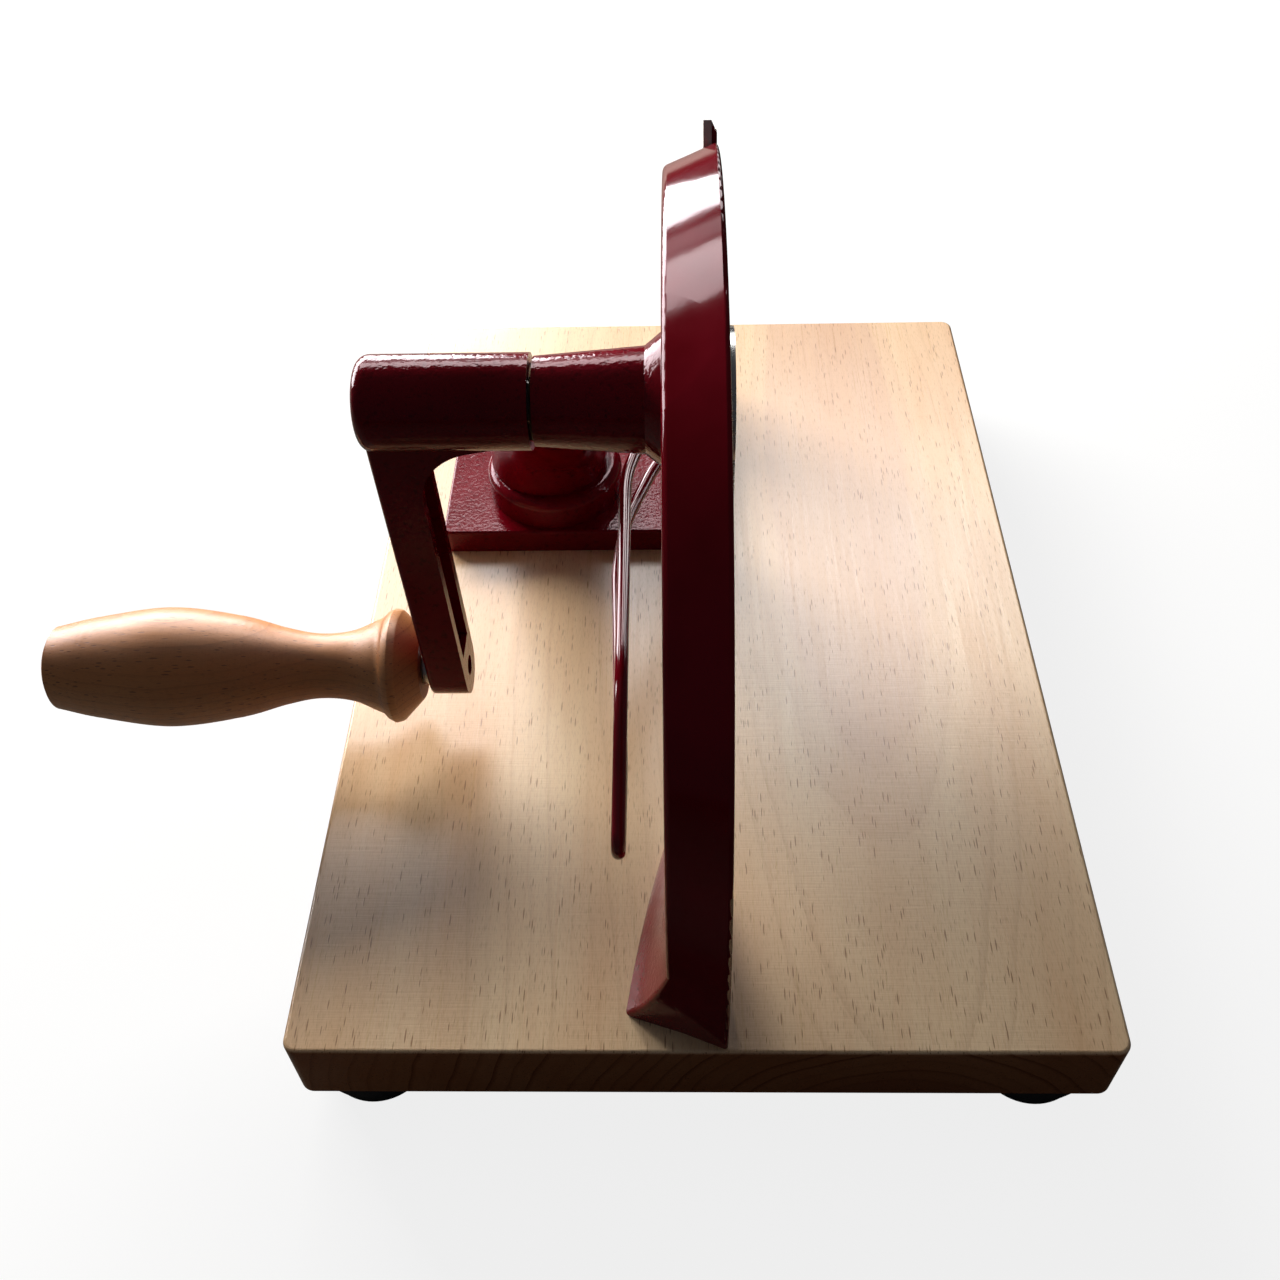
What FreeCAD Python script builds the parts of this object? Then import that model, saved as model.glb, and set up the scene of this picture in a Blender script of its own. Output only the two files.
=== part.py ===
"""Hand-cranked frozen meat slicer: a sickle blade on a crank, swung beside a cast arch on a beech board.

The frame is +Z up, +X to the right of the user and +Y away from the user. The origin is the centre of the
bounding box's bottom, so the rubber feet stand on Z = 0. All sizes are millimetres and live in the sheet.
"""

import FreeCAD, Part

import math
import os
import re

import Sketcher
from FreeCAD import Placement, Rotation, Vector

# Driving dimensions
# Each line is an alias of the sheet, its value and what it measures.
SIZES = {
    # Board and its feet
    "board_width": (220, "cutting board across"),
    "board_length": (325, "cutting board front to back"),
    "board_thickness": (25, "cutting board"),
    "board_mid_x": (42.75, "board centreline, right of the origin because the grip reaches out to the left"),
    "board_corner": (4, "rounding of the board's upright corners"),
    "board_edge": (1.2, "rounding of the board's long edges"),
    "foot_height": (12, "rubber foot"),
    "foot_radius": (17, "rubber foot at the board"),
    "foot_taper": (1.5, "how much smaller the foot is at the floor"),
    "foot_inset": (17.6, "foot centre from the board's edges"),
    "foot_pocket": (7, "foot's pocket for the screw's head"),
    "foot_floor": (5, "height of the pocket's top"),
    "foot_hole": (2.4, "hole above the pocket"),
    # Screws through the board, into the castings
    "cap_thread": (3, "cap screw"),
    "cap_length": (22, "cap screw below its head"),
    "cap_head": (5, "cap screw's head"),
    "cap_head_height": (6, "cap screw's head"),
    "cap_clearance": (3.3, "hole in the board"),
    "cap_bore": (7, "counterbore in the board"),
    "cap_depth": (9, "depth of the counterbore"),
    # Foot screws, leg screws and pillar screw
    "wood_thread": (2, "foot screw"),
    "wood_length": (20, "foot screw below its head"),
    "wood_head": (4.2, "foot screw's head"),
    "wood_head_height": (2.8, "foot screw's head"),
    "leg_thread": (3, "leg screw"),
    "leg_length": (15, "leg screw, head and all"),
    "leg_head": (6, "leg screw's flat head"),
    "leg_head_height": (3.2, "leg screw's flat head"),
    "pillar_thread": (4, "pillar screw"),
    "pillar_length": (24, "pillar screw, head and all"),
    "pillar_head": (8, "pillar screw's flat head"),
    "pillar_head_height": (4.2, "pillar screw's flat head"),
    # Crank axis
    "crank_y": (-52.5, "crank axis front to back"),
    "crank_z": (161.2, "crank axis above the floor"),
    "throw": (97.5, "crank axis down to the grip's axis"),
    "shaft_radius": (6, "crank shaft"),
    "running": (0.05, "radial clearance of a running fit"),
    "bush_wall": (2, "bronze bush"),
    "bush_length": (14, "bronze bush"),
    "outer_washer": (0.6, "thrust washer between the boss and the hub"),
    "inner_washer": (1.2, "thrust washer between the boss and the blade carrier"),
    # Cast arch
    "arch_left": (33.45, "left face of the arch"),
    "arch_right": (49.25, "right face of the arch, beside the blade"),
    "arch_mid_y": (-19.1, "centre of the arch's circle"),
    "arch_mid_z": (49.6, "centre of the arch's circle"),
    "arch_radius": (143.1, "outer radius at the right face"),
    "arch_draft": (6.4, "how much smaller the outer radius is at the left face"),
    "arch_band": (21, "radial width of the arch at its right face"),
    "arch_web": (4.6, "thickness of the arch's web"),
    "arch_wall": (4.2, "thickness of the arch's rim walls"),
    "arch_left_round": (2.2, "rounding of the arch's left outer edge"),
    "arch_right_round": (0.9, "rounding of the arch's right outer edge"),
    "solid_leg": (24, "height of the legs' solid bottoms"),
    "boss_end": (2.5, "left end of the bearing boss"),
    "boss_radius": (11, "bearing boss at its left end"),
    "boss_root": (13.4, "bearing boss at the arch"),
    "boss_flare": (4, "fillet where the boss meets the arch"),
    "pad_radius": (25.5, "round pad of the arch about the shaft"),
    "recess_radius": (20, "recess in the pad for the blade carrier"),
    "toe_round": (1.8, "rounding of the toe's ridge"),
    "cap_tap": (7.2, "depth of the cap screws' holes in the toe"),
    "leg_tap": (7, "depth of the leg screws' holes"),
    "pillar_tap": (16, "depth of the pillar screw's hole"),
    # Steel tab on the arch's rear shoulder
    "tab_left": (45.3, "left face of the steel tab"),
    "tab_thickness": (2.35, "steel tab"),
    "tab_depth": (8, "steel tab along the rim"),
    "tab_top": (149, "top of the steel tab from the arch's centre"),
    "tab_sunk": (3.5, "how deep the tab is let into the rim"),
    "tab_pin_radius": (1, "pin through the tab and the lug"),
    "tab_pin_rise": (3, "pin above the rim"),
    # Pillar between the boss and the rear plate
    "pillar_x": (-6.75, "centre of the pillar's foot"),
    "pillar_y": (50.5, "centre of the pillar's foot"),
    "pillar_radius": (24, "pillar's round foot"),
    "pillar_edge": (11, "height of the pillar's round foot"),
    "pillar_round": (3.6, "rounding of the foot's top edge"),
    "pillar_shift": (1.6, "how far the pillar stands left of its foot's centre"),
    "pillar_top_x": (10.6, "where the pillar runs into the boss"),
    "pillar_top_radius": (8, "pillar where it runs into the boss"),
    # Rear plate
    "plate_left": (-45.25, "left edge of the rear plate"),
    "plate_front": (24.5, "front edge of the rear plate"),
    "plate_back": (127, "back edge of the rear plate"),
    "plate_thickness": (9, "rear plate"),
    "plate_corner": (3, "rounding of the rear plate's corners"),
    "plate_edge": (1, "rounding of the rear plate's top edge"),
    # Crank
    "hub_left": (-40.85, "left end of the crank's hub"),
    "hub_right": (1.6, "right end of the crank's hub"),
    "hub_radius": (11.9, "crank's hub"),
    "hub_round": (3.4, "rounding of the hub's left end"),
    "hub_wall": (8, "hub's closed left end, beside the shaft"),
    "set_reach": (22, "hub's set screw from the hub's left end"),
    "set_thread": (2.5, "hub's set screw"),
    "set_length": (6.5, "hub's set screw"),
    "set_point": (1.2, "point of the hub's set screw"),
    "arm_top_left": (-39.75, "arm's outer face at the hub"),
    "arm_low_left": (-36.65, "arm's outer face at the grip"),
    "arm_top_right": (-28.05, "arm's inner face at the hub"),
    "arm_low_right": (-25.35, "arm's inner face at the grip"),
    "arm_depth": (17, "arm front to back"),
    "arm_wall": (3.4, "side walls of the arm's channel"),
    "arm_skin": (4, "outer wall of the arm's channel"),
    "arm_fillet": (16, "fillet between the hub and the arm"),
    "arm_reach": (21, "how far the fillet's web runs under the hub"),
    "arm_below": (8.5, "arm's round end below the grip's axis"),
    "arm_edge": (1.3, "rounding of the arm's edges"),
    "channel_end": (8.5, "lower end of the arm's channel above the grip's axis"),
    # Grip and its spindle
    "grip_outer": (-152.75, "outer end of the grip"),
    "grip_inner": (-39.35, "inner end of the grip"),
    "spindle_radius": (4, "spindle inside the grip"),
    "spindle_thread": (3, "spindle's thread in the arm"),
    "collar_radius": (5.6, "spindle's collar beside the arm"),
    "collar_reach": (2.4, "arm's end of the collar from the grip"),
    "grip_bore": (5.5, "bore in the wood for the sleeves"),
    "grip_bore_depth": (74, "bore in the wood"),
    "grip_sleeve": (18, "brass sleeve in the grip"),
    "spindle_groove": (0.7, "depth of the groove for the spindle's ring"),
    # Blade and its carrier
    "blade_left": (49.4, "left face of the blade"),
    "blade_thickness": (1.4, "blade"),
    "blade_tip": (137.6, "blade's reach from the crank axis"),
    "blade_heel": (40, "cutting edge's least radius"),
    "blade_root": (17.5, "round root of the blade"),
    "blade_bevel": (5, "width of the cutting edge's bevel"),
    "bevel_land": (0.35, "thickness left at the cutting edge"),
    "blade_sweep": (112, "degrees along the cutting edge from tip to heel"),
    "blade_rest": (-4.8, "degrees that the parked blade is turned about the shaft"),
    "carrier_radius": (18.5, "flange of the blade carrier"),
    "carrier_left": (39.55, "left face of the blade carrier"),
    "carrier_neck": (11, "carrier's hub beside the thrust washer"),
    "key_width": (4, "carrier's key"),
    "key_length": (6, "carrier's key"),
    "key_sunk": (2.2, "depth of the keyway in the shaft"),
    "end_thread": (2.5, "screw in the shaft's end"),
    "end_length": (14, "screw in the shaft's end, head and all"),
    "end_head": (5.2, "flat head of the shaft's end screw"),
    "end_head_height": (2.8, "flat head of the shaft's end screw"),
    "blade_bolt_circle": (12, "blade screws from the crank axis"),
    "blade_thread": (2, "blade screw"),
    "blade_screw_length": (7, "blade screw, head and all"),
    "blade_head": (4, "blade screw's flat head"),
    "kerf_width": (4.4, "slot in the board for the blade"),
    "kerf_radius": (140, "slot's curved floor about the crank axis"),
    # Thickness guide
    "post_x": (41.55, "guide post"),
    "post_y": (32.8, "guide post"),
    "post_radius": (4, "guide post"),
    "sleeve_radius": (6, "guide's sleeve"),
    "sleeve_low": (77.2, "lower end of the guide's sleeve"),
    "sleeve_high": (107, "upper end of the guide's sleeve"),
    "guide_bar": (1.85, "radius of the guide's bent bar"),
    "post_sunk": (7, "how deep the post stands in the plate"),
    "post_flange": (8, "post's flange on the plate"),
    "post_flange_height": (3, "post's flange on the plate"),
    "post_step": (1.6, "how much thicker the post is below the sleeve"),
    "guide_washer": (7, "washers above and below the sleeve"),
    "washer_thickness": (1, "washers above and below the sleeve"),
    "knob_radius": (7.4, "guide's lock knob"),
    "knob_neck": (6, "lock knob's foot"),
    "knob_height": (10.5, "guide's lock knob"),
    "knob_flute": (1.5, "flutes round the lock knob"),
}

os.makedirs("parts", exist_ok=True)
doc = FreeCAD.newDocument("Slicer")
sheet = doc.addObject("Spreadsheet::Sheet", "Sizes")
for row, (alias, (number, meaning)) in enumerate(SIZES.items(), start=1):
    sheet.set(f"A{row}", meaning)
    sheet.set(f"B{row}", str(number))
    sheet.setAlias(f"B{row}", alias)
doc.recompute()

UPRIGHT = Rotation()
ALONG_X = Rotation(Vector(0, 1, 0), 90)
FACING_LEFT = Rotation(Vector(0, 1, 0), -90)
FACING_BACK = Rotation(Vector(1, 0, 0), -90)


# Reading and binding the sheet
def bound(text):
    """An expression in plain aliases, turned into one that names the sheet."""
    def named(found):
        word = found.group()
        return f"Sizes.{word}" if word in SIZES else word

    return re.sub(r"\b[a-z][a-z_]*\b", named, text)


def size(text):
    """The present value of an expression in plain aliases."""
    result = sheet.evalExpression(bound(text))
    return float(getattr(result, "Value", result))


def point(*texts):
    """A point or direction whose coordinates are expressions."""
    return Vector(*[size(text) for text in texts])


def place(thing, spot, turn=UPRIGHT):
    """Turns an object and binds its position to three expressions."""
    thing.Placement = Placement(Vector(), turn)
    for axis, text in zip("xyz", spot):
        thing.setExpression(f"Placement.Base.{axis}", bound(text))
    return thing


def bind(thing, **texts):
    """Binds an object's own sizes to expressions."""
    for name, text in texts.items():
        thing.setExpression(name, bound(text))
    return thing


# Simple solids
def cylinder(spot, radius, height, turn=UPRIGHT):
    thing = bind(doc.addObject("Part::Cylinder", "Cylinder"), Radius=radius, Height=height)
    return place(thing, spot, turn)


def cone(spot, radius, far_radius, height, turn=UPRIGHT):
    thing = bind(doc.addObject("Part::Cone", "Cone"), Radius1=radius, Radius2=far_radius, Height=height)
    return place(thing, spot, turn)


def box(spot, length, width, height):
    thing = bind(doc.addObject("Part::Box", "Box"), Length=length, Width=width, Height=height)
    return place(thing, spot)


def fuse(*things):
    joined = doc.addObject("Part::MultiFuse", "Joined")
    joined.Shapes = list(things)
    return joined


def common(*things):
    shared = doc.addObject("Part::MultiCommon", "Shared")
    shared.Shapes = list(things)
    return shared


def cut(base, *tools):
    """The base less its tools, which are joined first when there are several."""
    less = doc.addObject("Part::Cut", "Less")
    less.Base = base
    less.Tool = fuse(*tools) if len(tools) > 1 else tools[0]
    return less


def rounded(base, radius, chosen):
    """Rounds the edges of the base that the test picks."""
    doc.recompute()
    numbers = [n for n, edge in enumerate(base.Shape.Edges, start=1) if chosen(edge)]
    fillet = doc.addObject("Part::Fillet", "Rounded")
    fillet.Base = base
    fillet.Edges = [(n, size(radius), size(radius)) for n in numbers]
    return fillet


def outline(body, role, corners, offset="0"):
    """A closed sketch of straight sides on one of the body's own planes, every corner bound to the sheet."""
    sketch = body.newObject("Sketcher::SketchObject", "Outline")
    plane = [feature for feature in body.Origin.OriginFeatures if feature.Role == role][0]
    sketch.AttachmentSupport = [(plane, "")]
    sketch.MapMode = "FlatFace"
    sketch.setExpression("AttachmentOffset.Base.z", bound(offset))
    spots = [point(across, up, "0") for across, up in corners]
    for n, spot in enumerate(spots):
        sketch.addGeometry(Part.LineSegment(spot, spots[(n + 1) % len(spots)]))
    for n in range(len(spots)):
        sketch.addConstraint(Sketcher.Constraint("Coincident", n, 2, (n + 1) % len(spots), 1))
    for n, corner in enumerate(corners):
        for kind, text in zip(("DistanceX", "DistanceY"), corner):
            made = sketch.addConstraint(Sketcher.Constraint(kind, -1, 1, n, 1, size(text)))
            sketch.setExpression(f"Constraints[{made}]", bound(text))
    return sketch


def plate(role, corners, thickness, offset="0", middle=False):
    """A flat piece: an outline on a plane, padded."""
    body = doc.addObject("PartDesign::Body", "Plate")
    pad = body.newObject("PartDesign::Pad", "Pad")
    pad.Profile = outline(body, role, corners, offset)
    pad.setExpression("Length", bound(thickness))
    if middle:
        pad.SideType = "Symmetric"
    return body


def turned(corners, spot, turn=ALONG_X):
    """A turned piece: an outline of (along the axis, radius) corners, revolved, then laid along its axis."""
    body = doc.addObject("PartDesign::Body", "Turned")
    round_about = body.newObject("PartDesign::Revolution", "Revolution")
    sketch = outline(body, "XZ_Plane", [(radius, along) for along, radius in corners])
    round_about.Profile = sketch
    round_about.ReferenceAxis = (sketch, ["V_Axis"])
    round_about.Angle = 360
    return place(body, spot, turn)


def ring(spot, outer, inner, height, turn=UPRIGHT):
    """A washer, bush or sleeve."""
    return turned([("0", inner), ("0", outer), (height, outer), (height, inner)], spot, turn)


def own_shape(shape):
    """A piece whose form no plain feature gives, from Part's own functions."""
    thing = doc.addObject("Part::Feature", "Shape")
    thing.Shape = shape
    return thing


pieces = []


def piece(name, thing):
    """Names a finished sub-part."""
    thing.Label = name
    pieces.append(thing)
    return thing


# Screws
def socketed(name, body, spot, turn, across, depth):
    """A screw's body less its hexagon socket."""
    socket = doc.addObject("Part::Prism", "Socket")
    socket.Polygon = 6
    bind(socket, Circumradius=across, Height=depth)
    place(socket, spot, turn)
    return piece(name, cut(body, socket))


def hex_screw(name, kind, spot):
    """A cap screw of a kind in the sheet: its head starts at the spot and its shank points up."""
    thread, head, head_height = f"{kind}_thread", f"{kind}_head", f"{kind}_head_height"
    length = f"{head_height} + {kind}_length"
    profile = [("0", "0"), ("0", head), (head_height, head), (head_height, thread), (length, thread),
               (length, "0")]
    body = turned(profile, spot, UPRIGHT)
    return socketed(name, body, spot, UPRIGHT, f"{thread} * 0.9", f"{head_height} * 0.6")


def flat_screw(name, thread, length, head, head_height, spot, turn=UPRIGHT):
    """A flat screw: its flat end is at the spot, and its head narrows along the turned Z axis."""
    profile = [("0", "0"), ("0", head), (head_height, thread), (length, thread), (length, "0")]
    body = turned(profile, spot, turn)
    return socketed(name, body, spot, turn, f"{thread} * 0.62", f"{head_height} * 0.7")


# Board, its feet and the screws through it
FRONT_SCREWS = {"front": ("(arch_left + arch_right) / 2", "-board_length / 2 + 11.5"),
                "back": ("arch_left + 3", "-board_length / 2 + 30.5")}
PLATE_SCREWS = {"front_left": ("plate_left + 10", "plate_front + 12"),
                "back_left": ("plate_left + 14", "plate_back - 22"),
                "front_right": ("arch_left - 9", "plate_front + 34"),
                "back_right": ("arch_left - 12", "plate_back - 14")}
FEET = {"front_left": (-1, -1), "front_right": (1, -1), "rear_left": (-1, 1), "rear_right": (1, 1)}
BOARD_TOP = "foot_height + board_thickness"
PLATE_TOP = "foot_height + board_thickness + plate_thickness"
CAP_SEAT = "foot_height + cap_depth - cap_head_height"


def foot_spot(sides, height):
    across, along = sides
    return (f"board_mid_x + {across} * (board_width / 2 - foot_inset)",
            f"{along} * (board_length / 2 - foot_inset)", height)


def make_board():
    """Beech board with the blade's curved slot and counterbored holes from below."""
    blank = box(("board_mid_x - board_width / 2", "-board_length / 2", "foot_height"),
                "board_width", "board_length", "board_thickness")
    corners = rounded(blank, "board_corner", lambda edge: abs(edge.tangentAt(0).z) > 0.9)
    soft = rounded(corners, "board_edge", lambda edge: abs(edge.BoundBox.ZLength) < 0.01)
    kerf = cylinder(("blade_left + blade_thickness / 2 - kerf_width / 2", "crank_y", "crank_z"),
                    "kerf_radius", "kerf_width", ALONG_X)
    holes = []
    for across, along in [*FRONT_SCREWS.values(), *PLATE_SCREWS.values()]:
        below = (across, along, "foot_height - 1")
        holes.append(cylinder(below, "cap_clearance", "board_thickness + 2"))
        holes.append(cylinder(below, "cap_bore", "cap_depth + 1"))
    for sides in FEET.values():
        holes.append(cylinder(foot_spot(sides, "foot_height - 1"), "wood_thread", "wood_length - 3"))
    return piece("base_board", cut(soft, kerf, *holes))


def make_feet():
    """Four rubber feet, each held by a wood screw over a steel washer."""
    for name, sides in FEET.items():
        profile = [
            ("0", "foot_pocket"), ("0", "foot_radius - foot_taper - 1.2"),
            ("1.2", "foot_radius - foot_taper"), ("foot_height - 1", "foot_radius"),
            ("foot_height", "foot_radius - 0.6"), ("foot_height", "foot_hole"),
            ("foot_floor", "foot_hole"), ("foot_floor", "foot_pocket")]
        piece(f"foot_{name}", turned(profile, foot_spot(sides, "0"), UPRIGHT))
        washer = ring(foot_spot(sides, "foot_floor - 1"), "foot_pocket - 0.4", "wood_thread + 0.2", "1")
        piece(f"foot_washer_{name}", washer)
        hex_screw(f"foot_screw_{name}", "wood", foot_spot(sides, "foot_floor - 1 - wood_head_height"))


def make_frame_screws():
    """Cap screws from under the board, up into the castings."""
    for name, (across, along) in FRONT_SCREWS.items():
        hex_screw(f"toe_screw_{name}", "cap", (across, along, CAP_SEAT))
    for name, (across, along) in PLATE_SCREWS.items():
        hex_screw(f"plate_screw_{name}", "cap", (across, along, CAP_SEAT))


# Cast frame
LEG_SCREWS = {"front": "arch_mid_y + 114", "back": "arch_mid_y + 134"}
LEG_X = "(arch_left + arch_right) / 2"

# Height above the plate, share of the way to the boss, and radius of each of the pillar's sections
PILLAR = [(8, 0, 20.9), (28.6, 0.08, 19.4), (49.2, 0.28, 17), (69.8, 0.53, 14), (90.4, 0.78, 11)]


def pillar_shape():
    """The pillar: a thick round foot, and round sections that narrow and swing forward to the boss."""
    foot = point("pillar_x", "pillar_y", PLATE_TOP)
    base = Part.makeCylinder(size("pillar_radius"), size("pillar_edge"), foot)
    top_edges = [edge for edge in base.Edges if edge.Closed and edge.CenterOfMass.z > foot.z + 1]
    base = base.makeFillet(size("pillar_round"), top_edges)
    top = point("pillar_top_x", "crank_y + 6.5", "crank_z - 4.2")
    start = foot - point("pillar_shift", "-pillar_shift", "0")
    rise = top - start
    wires = []
    for height, share, radius in PILLAR:
        middle = Vector(start.x + rise.x * share, start.y + rise.y * share, foot.z + height)
        wires.append(Part.Wire(Part.makeCircle(radius, middle)))
    wires.append(Part.Wire(Part.makeCircle(size("pillar_top_radius"), top)))
    return base.fuse(Part.makeLoft(wires, True)).removeSplitter()


def arch_front(across, height):
    """The Y of the arch's front face at a place across and a height, also on the cone's run to the left."""
    slope = size("arch_draft / (arch_right - arch_left)")
    radius = size("arch_radius") - slope * (size("arch_right") - across)
    return size("arch_mid_y") - math.sqrt(radius ** 2 - (height - size("arch_mid_z")) ** 2)


# Each section of the toe: its height over the board, the ridge's X, how far the ridge stands before the arch,
# how far back its left side runs, and how far it reaches into the leg
TOE = [(0, 22.4, 1.2, -99, 8), (3.7, 24.9, 0.9, -104, 8), (8.6, 27.4, 0.6, -114, 8),
       (13.9, 29.5, 0.35, -122, 7.5), (19.1, 31.4, 0.2, -128, 6), (23.6, 32.9, 0.12, -132, 4.6),
       (28, 34.2, 0, -135, 4.2), (34, 36, -1, -138, 4.4)]


def toe_section(lift, ridge_x, proud, back, width):
    """The toe's outline at a height. Its front lies on the arch's cone, its left side runs back."""
    height = size(BOARD_TOP) + lift
    left = size("arch_left")
    radius = size("toe_round")
    ridge = Vector(ridge_x, arch_front(ridge_x, height) - proud, height)
    inner = Vector(left + width, arch_front(left + width, height) + 0.3, height)
    end = Vector(min(left - 0.65 + lift * 0.05, left + 0.15), back, height)
    along_front, along_side = (inner - ridge).normalize(), (end - ridge).normalize()
    half = along_front.getAngle(along_side) / 2
    inward = (along_front + along_side).normalize()
    near = ridge + along_front * (radius / math.tan(half))
    far = ridge + along_side * (radius / math.tan(half))
    middle = ridge + inward * radius * (1 / math.sin(half) - 1)
    bulge = (far + end) * 0.5 + Vector(-0.8 + lift * 0.02, 0, 0)
    hidden = Vector(left + width, back, height)
    return Part.Wire([
        Part.LineSegment(inner, near).toShape(), Part.Arc(near, middle, far).toShape(),
        Part.Arc(far, bulge, end).toShape(), Part.LineSegment(end, hidden).toShape(),
        Part.LineSegment(hidden, inner).toShape()])


def toe_shape():
    """The front toe: a flared foot that sweeps out to the left of the front leg."""
    return Part.makeLoft([toe_section(*section) for section in TOE], True)


# The steel tab and its lug, drawn over the arch's centre: their turn back, their fronts and the lug's slope
SHOULDER_TURN = -30
TAB_FRONT = -3
LUG_FRONT = -2
LUG_SLOPE = 3.4


def on_shoulder(shape):
    """Turns a shape drawn upright over the arch's centre back to the arch's rear shoulder."""
    centre = point("0", "arch_mid_y", "arch_mid_z")
    shape.Placement = Placement(centre, Rotation(Vector(1, 0, 0), SHOULDER_TURN))
    return own_shape(shape)


def tab_block():
    """The steel tab, which is also the slot that it stands in."""
    low, top = size("arch_radius - tab_sunk"), size("tab_top")
    corner = Vector(size("tab_left"), TAB_FRONT, low)
    return on_shoulder(Part.makeBox(size("tab_thickness"), size("tab_depth"), top - low, corner))


def tab_pin(left, length):
    """The pin through the tab and the lug, or a hole for it, from a place across."""
    start = Vector(left, LUG_FRONT + 4, size("arch_radius + tab_pin_rise"))
    return on_shoulder(Part.makeCylinder(size("tab_pin_radius"), length, start, Vector(1, 0, 0)))


def lug_shape():
    """The lug on the arch's rear shoulder, with a sloping top, that backs the steel tab."""
    left, right = size("tab_left + tab_thickness"), size("arch_right")
    low, top = size("arch_radius - 5"), size("tab_top")
    corners = [Vector(left, LUG_FRONT, low), Vector(right, LUG_FRONT, low),
               Vector(right, LUG_FRONT, top - LUG_SLOPE), Vector(left, LUG_FRONT, top)]
    face = Part.Face(Part.makePolygon(corners + corners[:1]))
    return on_shoulder(face.extrude(Vector(0, size("tab_depth") - 1, 0)))


def make_shoulder_tab():
    """The steel tab let into the rim beside the lug, and the pin that holds it."""
    left, length = size("tab_left"), size("arch_right - tab_left")
    piece("shoulder_tab", cut(tab_block(), tab_pin(left - 5, 20)))
    return piece("tab_pin", tab_pin(left, length))


def arch_band():
    """The arch's ring: a disc with a round window, its pad about the shaft and its channel on the right."""
    slope = "arch_draft / (arch_right - arch_left)"
    width = "arch_right - arch_left"
    dish = f"({width} - arch_web)"
    middle = ("arch_mid_y", "arch_mid_z")
    axis = ("crank_y", "crank_z")
    disc = cone(("arch_left", *middle), "arch_radius - arch_draft", "arch_radius", width, ALONG_X)
    disc = rounded(disc, "arch_left_round", lambda edge: is_rim(edge, "arch_left"))
    disc = rounded(disc, "arch_right_round", lambda edge: is_rim(edge, "arch_right"))
    window = cylinder(("arch_left - 1", *middle), "arch_radius - arch_band", f"{width} + 2", ALONG_X)
    pad = cylinder(("arch_left", *axis), "pad_radius", width, ALONG_X)
    channel = cone(("arch_left + arch_web", *middle), f"arch_radius - arch_wall - {slope} * {dish}",
                   f"arch_radius - arch_wall + {slope}", f"{dish} + 1", ALONG_X)
    inner_wall = cylinder(("arch_left", *middle), "arch_radius - arch_band + arch_wall", "20", ALONG_X)
    legs = box(("arch_left", "arch_mid_y - 160", "0"), "40", "320", f"{BOARD_TOP} + solid_leg")
    about_shaft = cylinder(("arch_left", *axis), "pad_radius", "40", ALONG_X)
    below = box(("arch_left - 20", "arch_mid_y - 200", "-200"), "60", "400", f"200 + {BOARD_TOP}")
    under_leg = box(("arch_left - 20", "plate_front", "0"), "60", "200", PLATE_TOP)
    groove = cut(channel, inner_wall, legs, about_shaft)
    return cut(fuse(cut(disc, window), common(pad, disc)), groove, below, under_leg)


def is_rim(edge, across):
    """A whole circle at a place across."""
    return edge.Closed and abs(edge.CenterOfMass.x - size(across)) < 1


def make_arch():
    """One casting: the arch, the bearing boss, the pillar, the front toe and the shoulder's lug."""
    axis = ("crank_y", "crank_z")
    heel = rounded(
        box(("arch_left", "arch_mid_y + 108", PLATE_TOP), "arch_right - arch_left", "34", "8"),
        "1.5", lambda edge: edge.CenterOfMass.z > size(PLATE_TOP) + 7)
    boss = cone(("boss_end", *axis), "boss_radius", "boss_root", "arch_left - boss_end", ALONG_X)
    flare = cone(("arch_left - boss_flare", *axis), "boss_root - 0.3", "boss_root + boss_flare - 1",
                 "boss_flare + 0.1", ALONG_X)
    toe, pillar = own_shape(toe_shape()), own_shape(pillar_shape())
    solid = fuse(arch_band(), heel, boss, flare, toe, pillar, lug_shape())
    bore = cylinder(("boss_end - 1", *axis), "shaft_radius + bush_wall",
                    "arch_left + arch_web - boss_end + 2", ALONG_X)
    recess = cylinder(("arch_left + arch_web", *axis), "recess_radius", "30", ALONG_X)
    hub_room = cylinder(("boss_end - 30", *axis), "hub_radius + 4", "30", ALONG_X)
    holes = [bore, recess, hub_room, tab_block(), tab_pin(size("tab_left"), 20)]
    for across, along in FRONT_SCREWS.values():
        holes.append(cylinder((across, along, f"{BOARD_TOP} - 1"), "cap_thread", "cap_tap + 1"))
    for along in LEG_SCREWS.values():
        holes.append(cylinder((LEG_X, along, f"{PLATE_TOP} - 1"), "leg_thread", "leg_tap + 1"))
    under_pillar = ("pillar_x", "pillar_y", f"{PLATE_TOP} - 1")
    holes.append(cylinder(under_pillar, "pillar_thread", "pillar_tap + 1"))
    return piece("arch_frame", cut(solid, *holes))


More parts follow.
